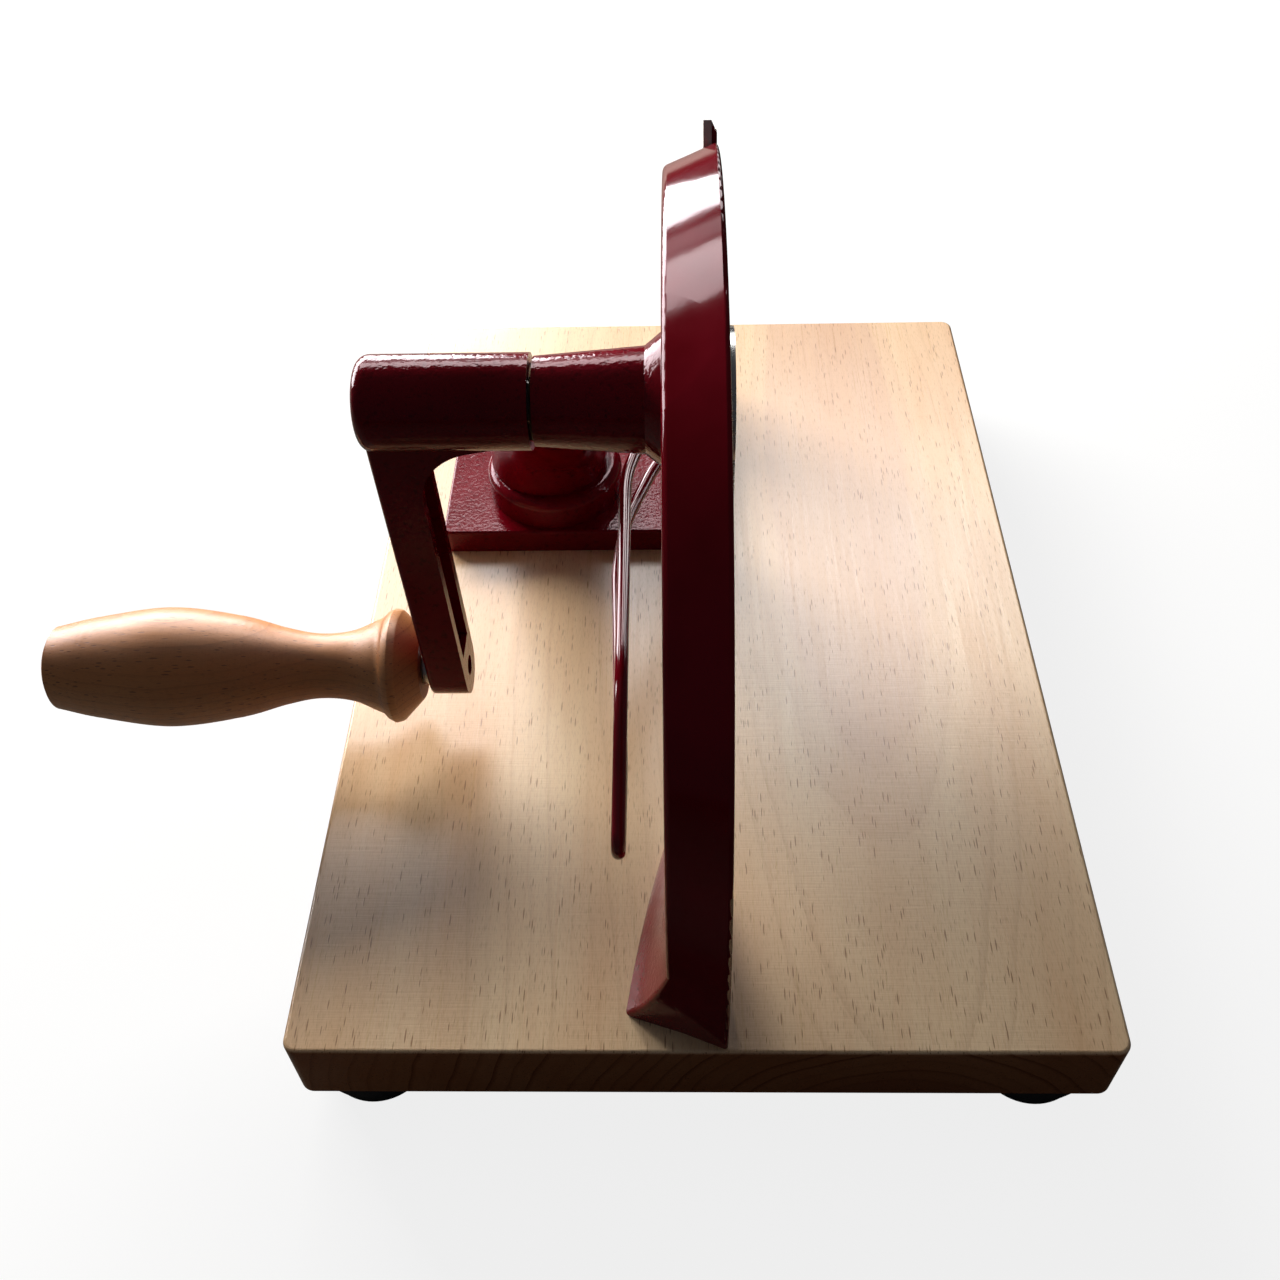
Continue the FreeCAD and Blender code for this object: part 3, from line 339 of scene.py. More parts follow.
@dataclass(frozen=True)
class Beech(Finish):
    """Steamed beech, planed or turned, with an oil finish.

    It is pale and satin, with short dark pore flecks along the fibres. The growth rings lie
    round a leaning pith. Where the surface cuts them they show as faint arches, with the log's
    pinker heart inside them. Real fibres are finer than 0.1 mm: they and the silky streaks are
    drawn 0.3 to 0.6 mm wide, so that they show.
    """

    grain: Grain = Grain.BACKWARD
    pale: str = "#e1c59f"
    warm: str = "#d1a77c"
    drift_mm: Size = (30.0, 220.0, 30.0)
    drift_span: Span = (0.34, 0.68)
    pith: Size = (97.0, 0.0, 15.6)
    lean: float = 0.16
    taper: float = 0.065
    wander_cell_mm: Size = (34.0, 60.0, 34.0)
    wander_span: Span = (0.2, 0.8)
    wander_mm: Span = (-1.8, 1.8)
    heart: str = "#c0987a"
    heart_mm: float = 32.5
    heart_edge_mm: float = 1.2
    heart_share: Span = (0.7, 0.3)
    halo_edge_mm: float = 1.5
    late: str = "#9a6c45"
    late_starts: float = 0.7
    late_ends: float = 0.97
    ring_mm: float = 5.2
    ring_share: float = 0.22
    ring_chance: Span = (0.1, 1.0)
    ring_strength: Span = (0.2, 1.0)
    silk_mm: Size = (0.6, 45.0, 0.6)
    silk_span: Span = (0.45, 0.75)
    silk_share: float = 0.4
    fibre_mm: Size = (0.34, 2.6, 0.34)
    fibre_span: Span = (0.52, 0.74)
    fibre_share: float = 0.34
    fleck: str = "#7c4c26"
    fleck_mm: Size = (0.66, 6.4, 0.66)
    fleck_chance: Span = (0.1, 1.0)
    fleck_reach: Span = (-0.05, 0.36)
    fleck_edge: Span = (-0.02, 0.12)
    fleck_share: float = 0.7
    end: str = "#a4683e"
    end_facing: Span = (0.6, 0.95)
    end_share: float = 0.85
    linen_mm: Size = (11.0, 0.55, 11.0)
    relief_mm: float = 0.055
    relief_silk: float = 0.35
    relief_linen: float = 0.5
    relief_fleck: float = 0.3
    ior: float = 1.5
    shine_levels: Span = (0.5, 0.05)
    rough: float = 0.31
    rough_span: Span = (0.3, 0.7)
    rough_swing: Span = (-0.05, 0.06)
    wax: float = 0.3
    wax_rough: float = 0.22

    def title(self) -> str:
        """The material's name."""
        return f"steamed_beech_{self.grain.name.lower()}"

    def lie(self, tree: Tree, spot: Socket) -> Socket:
        """Turns the coordinates so that the fibres always run along Y.

        Args:
            tree: the material's nodes.
            spot: a place or a direction on the object.

        Returns:
            The turned place or direction.
        """
        if self.grain is Grain.BACKWARD:
            return spot
        parts = add(tree, "SeparateXYZ", {0: spot}).outputs
        inputs = {"X": parts["Y"], "Y": parts["X"], "Z": parts["Z"]}
        return add(tree, "CombineXYZ", inputs).outputs[0]

    def depth(self, tree: Tree, spot: Socket) -> Socket:
        """The distance from the pith in millimetres.

        It is the length of the way to the pith's leaning line, and grows along a tapering log.
        A little noise makes it wander.

        Args:
            tree: the material's nodes.
            spot: the place in millimetres, with the fibres along Y.

        Returns:
            The distance.
        """
        moved = add(tree, "VectorMath", {0: spot, 1: self.pith}, operation="SUBTRACT")
        parts = add(tree, "SeparateXYZ", {0: moved.outputs[0]}).outputs
        along = parts["Y"]
        up = reckon(tree, "SUBTRACT", parts["Z"], reckon(tree, "MULTIPLY", along, self.lean))
        flat = add(tree, "CombineXYZ", {"X": parts["X"], "Z": up}).outputs[0]
        far = add(tree, "VectorMath", {0: flat}, operation="LENGTH").outputs["Value"]
        backward = reckon(tree, "MAXIMUM", along, 0.0)
        narrowed = reckon(tree, "MULTIPLY", backward, self.taper)
        wander = noise(tree, spot, self.wander_cell_mm, detail=2.0)
        wander = between(tree, wander, self.wander_span, self.wander_mm)
        return reckon(tree, "ADD", reckon(tree, "ADD", far, narrowed), wander)

    def heart_wood(self, tree: Tree, depth: Socket) -> Socket:
        """How much the heart's colour shows: strong inside it, weak in the one ring round it.

        Args:
            tree: the material's nodes.
            depth: the distance from the pith.

        Returns:
            The share, from 0 to 1.
        """
        halo_mm = self.heart_mm + self.ring_mm
        core = (self.heart_mm - self.heart_edge_mm, self.heart_mm + self.heart_edge_mm)
        halo = (halo_mm - self.halo_edge_mm, halo_mm + self.halo_edge_mm)
        inner = between(tree, depth, core, self.heart_share)
        return reckon(tree, "MULTIPLY", inner, between(tree, depth, halo, (1.0, 0.0)))

    def late_wood(self, tree: Tree, depth: Socket, cut: Socket) -> Socket:
        """How much each ring's dark late wood shows.

        It rises over the ring's last third, drops at its end, and differs from ring to ring.

        Args:
            tree: the material's nodes.
            depth: the distance from the pith.
            cut: how far the surface is end grain, from 0 to 1.

        Returns:
            The share, from 0 to 1.
        """
        rings = reckon(tree, "SUBTRACT", depth, self.heart_mm)
        rings = reckon(tree, "DIVIDE", rings, self.ring_mm)
        part, number = reckon(tree, "FRACT", rings), reckon(tree, "FLOOR", rings)
        pick = add(tree, "TexWhiteNoise", {"W": number}, noise_dimensions="1D").outputs["Value"]
        rise = between(tree, part, (self.late_starts, self.late_ends))
        drop = between(tree, part, (self.late_ends, 1.0), (1.0, 0.0))
        late = reckon(tree, "MULTIPLY", rise, drop)
        strength = between(tree, pick, self.ring_chance, self.ring_strength)
        late = reckon(tree, "MULTIPLY", late, strength)
        shown = between(tree, cut, (0.0, 1.0), (self.ring_share, 1.0))
        return reckon(tree, "MULTIPLY", late, shown)

    def flecks(self, tree: Tree, spot: Socket) -> Socket:
        """The pore flecks: one in most cells, of uneven length, with its ends drawn to points.

        Args:
            tree: the material's nodes.
            spot: the place in millimetres, with the fibres along Y.

        Returns:
            How much of a fleck is there, from 0 to 1.
        """
        inputs = {"Vector": stretched(tree, spot, self.fleck_mm), "Scale": 1.0}
        cells = add(tree, "TexVoronoi", inputs)
        chance = add(tree, "SeparateColor", {0: cells.outputs["Color"]}).outputs[0]
        reach = between(tree, chance, self.fleck_chance, self.fleck_reach)
        inside = reckon(tree, "SUBTRACT", reach, cells.outputs["Distance"])
        return between(tree, inside, self.fleck_edge)

    def colouring(
        self, tree: Tree, spot: Socket, cut: Socket, silk: Socket, fleck: Socket
    ) -> Socket:
        """Lays the tones over the pale wood, one after the other.

        Args:
            tree: the material's nodes.
            spot: the place in millimetres, with the fibres along Y.
            cut: how far the surface is end grain, from 0 to 1.
            silk: the long fine streaks.
            fleck: the pore flecks.

        Returns:
            The colour.
        """
        depth = self.depth(tree, spot)
        drift = noise(tree, spot, self.drift_mm, detail=3.0, rough=0.55)
        fibre = between(tree, noise(tree, spot, self.fibre_mm, 1.5, 0.6), self.fibre_span)
        base = blended(tree, between(tree, drift, self.drift_span), self.pale, self.warm)
        for share, tone in (
            (self.heart_wood(tree, depth), self.heart),
            (self.late_wood(tree, depth, cut), self.late),
            (between(tree, silk, self.silk_span, (0.0, self.silk_share)), self.warm),
            (reckon(tree, "MULTIPLY", fibre, self.fibre_share), self.late),
            (reckon(tree, "MULTIPLY", fleck, self.fleck_share), self.fleck),
        ):
            base = blended(tree, share, base, tone)
        darker = reckon(tree, "MULTIPLY", cut, self.end_share)
        return blended(tree, darker, base, self.end, "MULTIPLY")

    def relief(self, tree: Tree, spot: Socket, silk: Socket, fleck: Socket) -> Socket:
        """The surface's relief: silk and fine cross marks, with the flecks as dents.

        Args:
            tree: the material's nodes.
            spot: the place in millimetres, with the fibres along Y.
            silk: the long fine streaks.
            fleck: the pore flecks.

        Returns:
            The bumped normal.
        """
        linen = noise(tree, spot, self.linen_mm, detail=1.0)
        height = reckon(tree, "ADD", reckon(tree, "MULTIPLY", silk, self.relief_silk),
                        reckon(tree, "MULTIPLY", linen, self.relief_linen))
        dents = reckon(tree, "MULTIPLY", fleck, self.relief_fleck)
        return dented(tree, reckon(tree, "SUBTRACT", height, dents), self.relief_mm)

    def paint(self, tree: Tree, spot: Socket, face: Socket) -> Socket:
        """Draws drift, growth rings and pore flecks, with a darker and duller end grain.

        Args:
            tree: the material's nodes.
            spot: the place on the object, in millimetres.
            face: the direction that the surface faces.

        Returns:
            The shader.
        """
        spot = self.lie(tree, spot)
        facing = add(tree, "SeparateXYZ", {0: self.lie(tree, face)}).outputs["Y"]
        cut = between(tree, reckon(tree, "ABSOLUTE", facing), self.end_facing)
        silk = noise(tree, spot, self.silk_mm, detail=2.0, rough=0.6)
        fleck = self.flecks(tree, spot)
        rough = (self.rough + self.rough_swing[0], self.rough + self.rough_swing[1])
        inputs = {
            "Base Color": self.colouring(tree, spot, cut, silk, fleck),
            "Roughness": between(tree, silk, self.rough_span, rough), "IOR": self.ior,
            "Specular IOR Level": between(tree, cut, (0.0, 1.0), self.shine_levels),
            "Coat Weight": between(tree, cut, (0.0, 1.0), (self.wax, 0.0)),
            "Coat Roughness": self.wax_rough, "Normal": self.relief(tree, spot, silk, fleck),
        }
        return add(tree, "BsdfPrincipled", inputs).outputs[0]


@dataclass(frozen=True)
class Rubber(Finish):
    """Moulded black rubber: matt, a little dusty, with the mould's fine spark-eroded grain."""

    black: str = "#1b1b1c"
    dust: str = "#2c2b2a"
    dust_mm: float = 7.0
    dust_span: Span = (0.45, 0.75)
    grit_mm: float = 0.5
    grit_depth_mm: float = 0.04
    ior: float = 1.52
    rough_span: Span = (0.3, 0.7)
    rough: Span = (0.55, 0.72)

    def title(self) -> str:
        """The material's name."""
        return "moulded_black_rubber"

    def paint(self, tree: Tree, spot: Socket, face: Socket) -> Socket:
        """Draws the mould's grain and a little dust.

        Args:
            tree: the material's nodes.
            spot: the place on the object, in millimetres.
            face: the direction that the surface faces; not used.

        Returns:
            The shader.
        """
        grit = noise(tree, spot, self.grit_mm, detail=2.0)
        dust = noise(tree, spot, self.dust_mm, detail=3.0)
        base = blended(tree, between(tree, dust, self.dust_span), self.black, self.dust)
        inputs = {
            "Base Color": base, "Roughness": between(tree, dust, self.rough_span, self.rough),
            "IOR": self.ior, "Normal": dented(tree, grit, self.grit_depth_mm),
        }
        return add(tree, "BsdfPrincipled", inputs).outputs[0]


@dataclass(frozen=True)
class Metal(Finish):
    """A plated, turned or ground metal: satin, with faint clouds and fine scratches across X.

    Real scratches are finer than 0.1 mm. These are drawn 0.35 mm wide, so that they show.
    """

    name: str = "zinc_plated_steel"
    tone: str = "#c2c3c6"
    cloud: str = "#a3a4a8"
    rough: float = 0.26
    rough_span: Span = (0.3, 0.7)
    rough_swing: Span = (-0.05, 0.08)
    cloud_mm: float = 4.0
    cloud_span: Span = (0.35, 0.7)
    line_mm: float = 0.35
    line_stretch: float = 8.0
    line_depth_mm: float = 0.006

    def title(self) -> str:
        """The material's name."""
        return self.name

    def paint(self, tree: Tree, spot: Socket, face: Socket) -> Socket:
        """Draws clouds over fine scratches.

        Args:
            tree: the material's nodes.
            spot: the place on the object, in millimetres.
            face: the direction that the surface faces; not used.

        Returns:
            The shader.
        """
        cloud = noise(tree, spot, self.cloud_mm, detail=3.0)
        reach = self.line_mm * self.line_stretch
        line = noise(tree, spot, (self.line_mm, reach, reach), detail=2.0)
        rough = (self.rough + self.rough_swing[0], self.rough + self.rough_swing[1])
        dull = between(tree, cloud, self.cloud_span)
        inputs = {
            "Base Color": blended(tree, dull, self.tone, self.cloud),
            "Metallic": 1.0, "Roughness": between(tree, cloud, self.rough_span, rough),
            "Normal": dented(tree, line, self.line_depth_mm),
        }
        return add(tree, "BsdfPrincipled", inputs).outputs[0]


@dataclass(frozen=True)
class GroundBlade(Finish):
    """Stainless blade steel ground on a turning table: satin, with fine rings about the shaft.

    Real grinding lines are finer than 0.1 mm. These are drawn 0.3 mm apart, so that they show.
    """

    tone: str = "#cfcfcd"
    shade: str = "#aaa9a6"
    shaft: Size = (0.0, -52.5, 161.2)
    line_mm: float = 0.3
    line_span: Span = (0.3, 0.75)
    line_depth_mm: float = 0.008
    wander_mm: float = 30.0
    wander_lines: float = 4.0
    rough_span: Span = (0.3, 0.7)
    rough: Span = (0.2, 0.32)

    def title(self) -> str:
        """The material's name."""
        return "ground_stainless_steel"

    def paint(self, tree: Tree, spot: Socket, face: Socket) -> Socket:
        """Draws grinding lines that follow the distance from the shaft, and wander a little.

        Args:
            tree: the material's nodes.
            spot: the place on the object, in millimetres.
            face: the direction that the surface faces; not used.

        Returns:
            The shader.
        """
        moved = add(tree, "VectorMath", {0: spot, 1: self.shaft}, operation="SUBTRACT").outputs[0]
        flat = add(tree, "VectorMath", {0: moved, 1: (0, 1, 1)}, operation="MULTIPLY").outputs[0]
        far = add(tree, "VectorMath", {0: flat}, operation="LENGTH").outputs["Value"]
        wander = noise(tree, spot, self.wander_mm, detail=1.0)
        at = reckon(tree, "ADD", reckon(tree, "DIVIDE", far, self.line_mm),
                    reckon(tree, "MULTIPLY", wander, self.wander_lines))
        inputs = {"W": at, "Scale": 1.0, "Detail": 3.0, "Roughness": 0.7}
        line = add(tree, "TexNoise", inputs, noise_dimensions="1D").outputs["Fac"]
        surface = {
            "Base Color": blended(tree, between(tree, line, self.line_span), self.tone, self.shade),
            "Metallic": 1.0, "Roughness": between(tree, line, self.rough_span, self.rough),
            "Normal": dented(tree, line, self.line_depth_mm),
        }
        return add(tree, "BsdfPrincipled", surface).outputs[0]


# Screws and washers: pale grey, satin.
ZINC = Metal()
# Shafts, the blade's carrier and the guide's post, turned: brighter, with a sharper shine.
SPINDLE_STEEL = Metal("turned_bright_steel", "#c9c8c6", "#8f8e8c", 0.2)
# Bearing bushes, pressed from powder: yellow-brown and duller.
BRONZE = Metal("sintered_bronze", "#b88a4a", "#94683a", 0.34)
# Thrust washers: bronze painted dark brown, as painted shade in the seam between the hub and the
# boss.
WASHER_SEAM_SHADE_BRONZE = Metal("bronze_darkened_as_seam_shade", "#4a3826", "#2c2118", 0.45)
# The tab on the arch and its pin, ground steel with a broad soft shine. Its pale warm tone is
#  partly the steel's own grey and partly painted reflection of the beech board.
TAB_STEEL = Metal("ground_tool_steel", "#d4cfc6", "#b9b3aa", 0.5)
BLADE_STEEL = GroundBlade()
BOARD_WOOD = Beech()
# Turned grip: the fibres run along it, redder and darker than the board, with tighter rings.
GRIP_WOOD = Beech(
    grain=Grain.ACROSS, pale="#c9905c", warm="#b57644", heart="#a86c44", late="#86502a",
    fleck="#562a14", end="#b07848", pith=(-66.0, -100.0, 44.0), lean=0.03, taper=0.0,
    ring_mm=2.6, heart_mm=0.0, ring_share=0.45, fleck_mm=(0.7, 5.0, 0.7), fleck_share=0.6,
    rough=0.42, wax=0.1,
)
SMOOTH_ENAMEL = Enamel(Cast.SMOOTH, shine="#ffeef0", shine_level=0.5)
PEELED_ENAMEL = Enamel(Cast.PEELED)
FRAME_ENAMEL = Enamel(Cast.MIXED)
RUBBER = Rubber()


# Surfaces


def mesh_of(name: str, points: np.ndarray, closed_around: bool, closed_along: bool) -> Piece:
    """Makes a piece from a grid of points.

    Args:
        name: the piece's name.
        points: rows along the shape by columns around it by three, in millimetres.
        closed_around: whether the last column joins the first.
        closed_along: whether the last row joins the first.

    Returns:
        The piece, at the origin, with one face for each cell of the grid.
    """
    rows, columns = points.shape[:2]
    down = np.arange(rows if closed_along else rows - 1)
    over = np.arange(columns if closed_around else columns - 1)
    row, column = np.meshgrid(down, over, indexing="ij")
    next_row, next_column = (row + 1) % rows, (column + 1) % columns
    corners = [row * columns + column, row * columns + next_column,
               next_row * columns + next_column, next_row * columns + column]
    faces = np.stack(corners, axis=-1).reshape(-1, 4)
    mesh = bpy.data.meshes.new(name)
    mesh.from_pydata((points.reshape(-1, 3) * MM).tolist(), [], faces.tolist())
    mesh.update()
    made = bpy.data.objects.new(name, mesh)
    bpy.context.scene.collection.objects.link(made)
    return made


def finished(
    piece: Piece, finish: Finish, body: str, slot: str, *nodes: str, sharp: float = 38.0
) -> Piece:
    """Cleans a piece's mesh, shades it, dresses it, puts it on its body and hides the solids that
    it replaces.

    Args:
        piece: the new piece.
        finish: its material.
        body: the body that it moves with.
        slot: the record's material slot; not used.
        nodes: the solids that it replaces.
        sharp: the least turn, in degrees, that stays a hard edge.

    Returns:
        The same piece, with faces that point outwards.
    """
    work = bmesh.new()
    work.from_mesh(piece.data)
    bmesh.ops.remove_doubles(work, verts=work.verts, dist=MERGE_DISTANCE)
    bmesh.ops.recalc_face_normals(work, faces=work.faces)
    if work.calc_volume(signed=True) < 0:
        bmesh.ops.reverse_faces(work, faces=work.faces)
    work.to_mesh(piece.data)
    work.free()
    piece.data.polygons.foreach_set("use_smooth", np.ones(len(piece.data.polygons), bool))
    piece.data.set_sharp_from_angle(angle=math.radians(sharp))
    piece.data.materials.clear()
    piece.data.materials.append(finish.material())
    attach(piece, body)
    if nodes:
        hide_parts(*nodes)
    LOG.info("%s: %d faces on %s", piece.name, len(piece.data.polygons), body)
    return piece


def dress(finish: Finish, nodes: Iterable[str]) -> None:
    """Gives solids that keep their own shape a finish.

    Args:
        finish: the material.
        nodes: the solids' names.
    """
    for name in nodes:
        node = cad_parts[name]
        node.data.materials.clear()
        node.data.materials.append(finish.material())
        LOG.info("%s: %s", name, finish.title())


def eased(profile: Iterable[Size], steps: int = 5) -> np.ndarray:
    """Rounds the corners of a profile.

    Each corner becomes a quadratic curve between the points at its ease distance on both sides.

    Args:
        profile: along, radius and ease of each corner of a closed profile.
        steps: the points on each rounded corner.

    Returns:
        The profile's points, along and radius.
    """
    corners = np.array(list(profile), float)
    spots, ease = corners[:, :2], corners[:, 2:]
    before, after = np.roll(spots, 1, axis=0) - spots, np.roll(spots, -1, axis=0) - spots
    near = spots + before / np.linalg.norm(before, axis=1, keepdims=True) * ease
    far = spots + after / np.linalg.norm(after, axis=1, keepdims=True) * ease
    share = np.linspace(0, 1, steps)[None, :, None]
    curve = (near[:, None] * (1 - share) ** 2 + 2 * spots[:, None] * share * (1 - share)
             + far[:, None] * share**2)
    return curve.reshape(-1, 2)


def revolved(along: np.ndarray, radius: np.ndarray, turns: int) -> np.ndarray:
    """A surface of revolution about X: each profile point goes round the axis in equal steps.

    Args:
        along: each point's place on the axis.
        radius: each point's distance from the axis, or one row of distances per point.
        turns: the points around.

    Returns:
        The grid of points.
    """
    angle = np.arange(turns) * FULL_TURN / turns
    radius = radius[:, None] if radius.ndim == 1 else radius
    grid_y, grid_z = radius * np.cos(angle), radius * np.sin(angle)
    return np.stack([np.broadcast_to(along[:, None], grid_y.shape), grid_y, grid_z], axis=-1)


def flowing(knots: np.ndarray, per_span: int) -> np.ndarray:
    """A Catmull-Rom curve through knots: each span blends its four nearest knots by cubic weights.

    Args:
        knots: the points, one row each.
        per_span: the points on each span.

    Returns:
        The curve's points, ends included.
    """
    padded = np.vstack([2 * knots[0] - knots[1], knots, 2 * knots[-1] - knots[-2]])
    share = np.linspace(0, 1, per_span, endpoint=False)[None, :, None]
    a, b, c, d = (padded[n : len(padded) - 3 + n, None] for n in range(4))
    curve = 0.5 * (2 * b + (c - a) * share + (2 * a - 5 * b + 4 * c - d) * share**2
                   + (3 * b - a - 3 * c + d) * share**3)
    return np.vstack([curve.reshape(-1, knots.shape[1]), knots[-1:]])


# Sub-assemblies


@dataclass
class Base:
    """The beech board, its rubber feet and the screws that hold them.

    wall holds the height of each corner of a foot's ribbed wall, and how far it stands out
    from the radius of the foot's small end.
    """

    corners: tuple[str, ...] = ("front_left", "front_right", "rear_left", "rear_right")
    foot_radius: float = 17.0
    foot_height: float = 12.0
    foot_taper: float = 1.5
    foot_turns: int = 72
    sole_edge: Size = (0.0, -0.2, 0.8)
    sole_rise: Size = (1.6, 0.0, 0.5)
    wall: tuple[Span, ...] = (
        (3.4, 0.5), (3.8, -0.1), (4.8, 0.2), (5.2, 1.1), (7.2, 1.7), (7.6, 1.1), (8.6, 1.4),
        (9.0, 2.3),
    )
    wall_ease: float = 0.25
    rim_drop: float = 1.0
    rim_inset: float = 0.1
    rim_ease: float = 0.5
    rim_bevel: float = 0.8
    edge_ease: float = 0.3
    pocket_radius: float = 7.0
    pocket_depth: float = 5.0
    hole_radius: float = 2.4
    hole_ease: float = 0.2

    def foot(self, corner: str) -> Piece:
        """One moulded foot: a ribbed cone round a screw pocket, turned about an upright axis.

        Args:
            corner: the foot's place on the board.

        Returns:
            The foot.
        """
        low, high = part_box(f"foot_{corner}")
        middle = (low + high) / 2 / MM
        small = self.foot_radius - self.foot_taper
        sole = [(at, small + out, ease) for at, out, ease in (self.sole_edge, self.sole_rise)]
        wall = [(at, small + out, self.wall_ease) for at, out in self.wall]
        profile = eased([
            (0, self.pocket_radius, self.edge_ease), *sole, *wall,
            (self.foot_height - self.rim_drop, self.foot_radius - self.rim_inset, self.rim_ease),
            (self.foot_height, self.foot_radius - self.rim_bevel, self.edge_ease),
            (self.foot_height, self.hole_radius, self.hole_ease),
            (self.pocket_depth, self.hole_radius, self.hole_ease),
            (self.pocket_depth, self.pocket_radius, self.edge_ease),
        ])
        grid = revolved(profile[:, 0], profile[:, 1], self.foot_turns)
        upright = np.stack([grid[..., 1] + middle.x, grid[..., 2] + middle.y,
                            grid[..., 0] + low.z / MM], axis=-1)
        piece = mesh_of(f"moulded_foot_{corner}", upright, True, True)
        return finished(piece, RUBBER, "frame", "black_rubber", f"foot_{corner}")

    def build(self) -> None:
        """Builds the feet and dresses the board and its screws."""
        dress(BOARD_WOOD, ["base_board"])
        for corner in self.corners:
            self.foot(corner)
            dress(ZINC, [f"foot_screw_{corner}", f"foot_washer_{corner}"])


@dataclass
class Stand:
    """The cast arch with its boss, pillar and toe, the rear plate, their screws and bearings."""

    screws: tuple[str, ...] = (
        "leg_screw_back", "leg_screw_front", "pillar_screw", "plate_screw_back_left",
        "plate_screw_back_right", "plate_screw_front_left", "plate_screw_front_right",
        "toe_screw_back", "toe_screw_front",
    )
    bushes: tuple[str, ...] = ("bush_inner", "bush_outer")
    washers: tuple[str, ...] = ("thrust_washer_inner", "thrust_washer_outer")

    def build(self) -> None:
        """Dresses the castings, screws and bearings."""
        dress(FRAME_ENAMEL, ["arch_frame"])
        dress(PEELED_ENAMEL, ["rear_plate"])
        dress(ZINC, self.screws)
        # The tab's pale warm tone is partly painted reflection of the beech board.
        dress(TAB_STEEL, ["shoulder_tab", "tab_pin"])
        dress(BRONZE, self.bushes)
        # The thrust washers' dark brown is painted shade in the seam between the hub and the boss.
        dress(WASHER_SEAM_SHADE_BRONZE, self.washers)


@dataclass
class Grip:
    """The turned beech grip, its bushes, and the spindle that it spins on.

    dome, belly and collar are points of its outline: the place along the axis, from the outer
    end, and the radius. A lathe's marks are finer than these, which are drawn so that they show.
    """

    outer: float = -152.75
    axis_y: float = -52.5
    axis_z: float = 63.7
    length: float = 113.4
    dome: tuple[Span, ...] = ((0.0, 0.0), (0.15, 3.5), (0.8, 7.4), (1.7, 10.4), (3.0, 12.6))
    belly: tuple[Span, ...] = (
        (3, 12.6), (16, 15.4), (37, 18), (58, 15.4), (72, 11.6), (82, 9.8), (92, 10.6),
        (101, 14.2),
    )
    collar: tuple[Span, ...] = (
        (102, 14.6), (103.0, 15.7), (103.5, 16.25), (105.0, 17.05), (105.4, 17.2),
        (105.8, 17.1), (107.2, 16.7), (107.7, 16.3),
    )
    back_ease: float = 0.4
    back_radii: Span = (10.5, 9.9)
    bore: float = 5.5
    bore_depth: float = 74.0
    lip: float = 0.5
    tool_mark_mm: float = 0.02
    tool_feed_mm: float = 0.9
    dome_steps: int = 5
    belly_steps: int = 24
    turns: int = 112

    def profile(self) -> np.ndarray:
        """The outside from the rounded outer end to the collar beside the arm, then the bore.

        The tool marks are a sine of the place along the axis.

        Returns:
            The points, along the axis from the outer end and out from it.
        """
        swell = flowing(np.array(self.belly), self.belly_steps)
        marks = self.tool_mark_mm * np.sin(swell[:, 0] * FULL_TURN / self.tool_feed_mm)
        swell = swell + np.stack([np.zeros_like(marks), marks], axis=1)
        shoulder, rim = self.back_radii
        inner = self.length - self.bore_depth
        back = [(self.length - self.back_ease, shoulder), (self.length, rim),
                (self.length, self.bore + self.lip), (self.length - self.lip, self.bore),
                (inner, self.bore), (inner, 0.0)]
        dome = flowing(np.array(self.dome), self.dome_steps)[:-1]
        return np.vstack([dome, swell, np.array(self.collar), np.array(back)])

    def build(self) -> None:
        """Turns the grip and dresses what it spins on."""
        line = self.profile()
        grid = revolved(line[:, 0], line[:, 1], self.turns)
        piece = mesh_of("turned_grip", grid + np.array([self.outer, self.axis_y, self.axis_z]),
                        True, False)
        finished(piece, GRIP_WOOD, "grip", "grip_beech", "grip", sharp=30.0)
        dress(BRONZE, ["grip_bush_inner", "grip_bush_outer"])
        dress(SPINDLE_STEEL, ["grip_spindle", "spindle_ring"])


@dataclass
class Crank:
    """The crank casting, its shaft, and the blade that it swings."""

    shaft_parts: tuple[str, ...] = (
        "crank_shaft", "carrier_key", "blade_carrier", "hub_set_screw",
    )
    screws: tuple[str, ...] = (
        "carrier_screw", "blade_screw_1", "blade_screw_2", "blade_screw_3",
    )

    def build(self) -> None:
        """Dresses the crank's solids."""
        dress(PEELED_ENAMEL, ["crank_arm"])
        dress(SPINDLE_STEEL, self.shaft_parts)
        dress(ZINC, self.screws)
        dress(BLADE_STEEL, ["sickle_blade"])


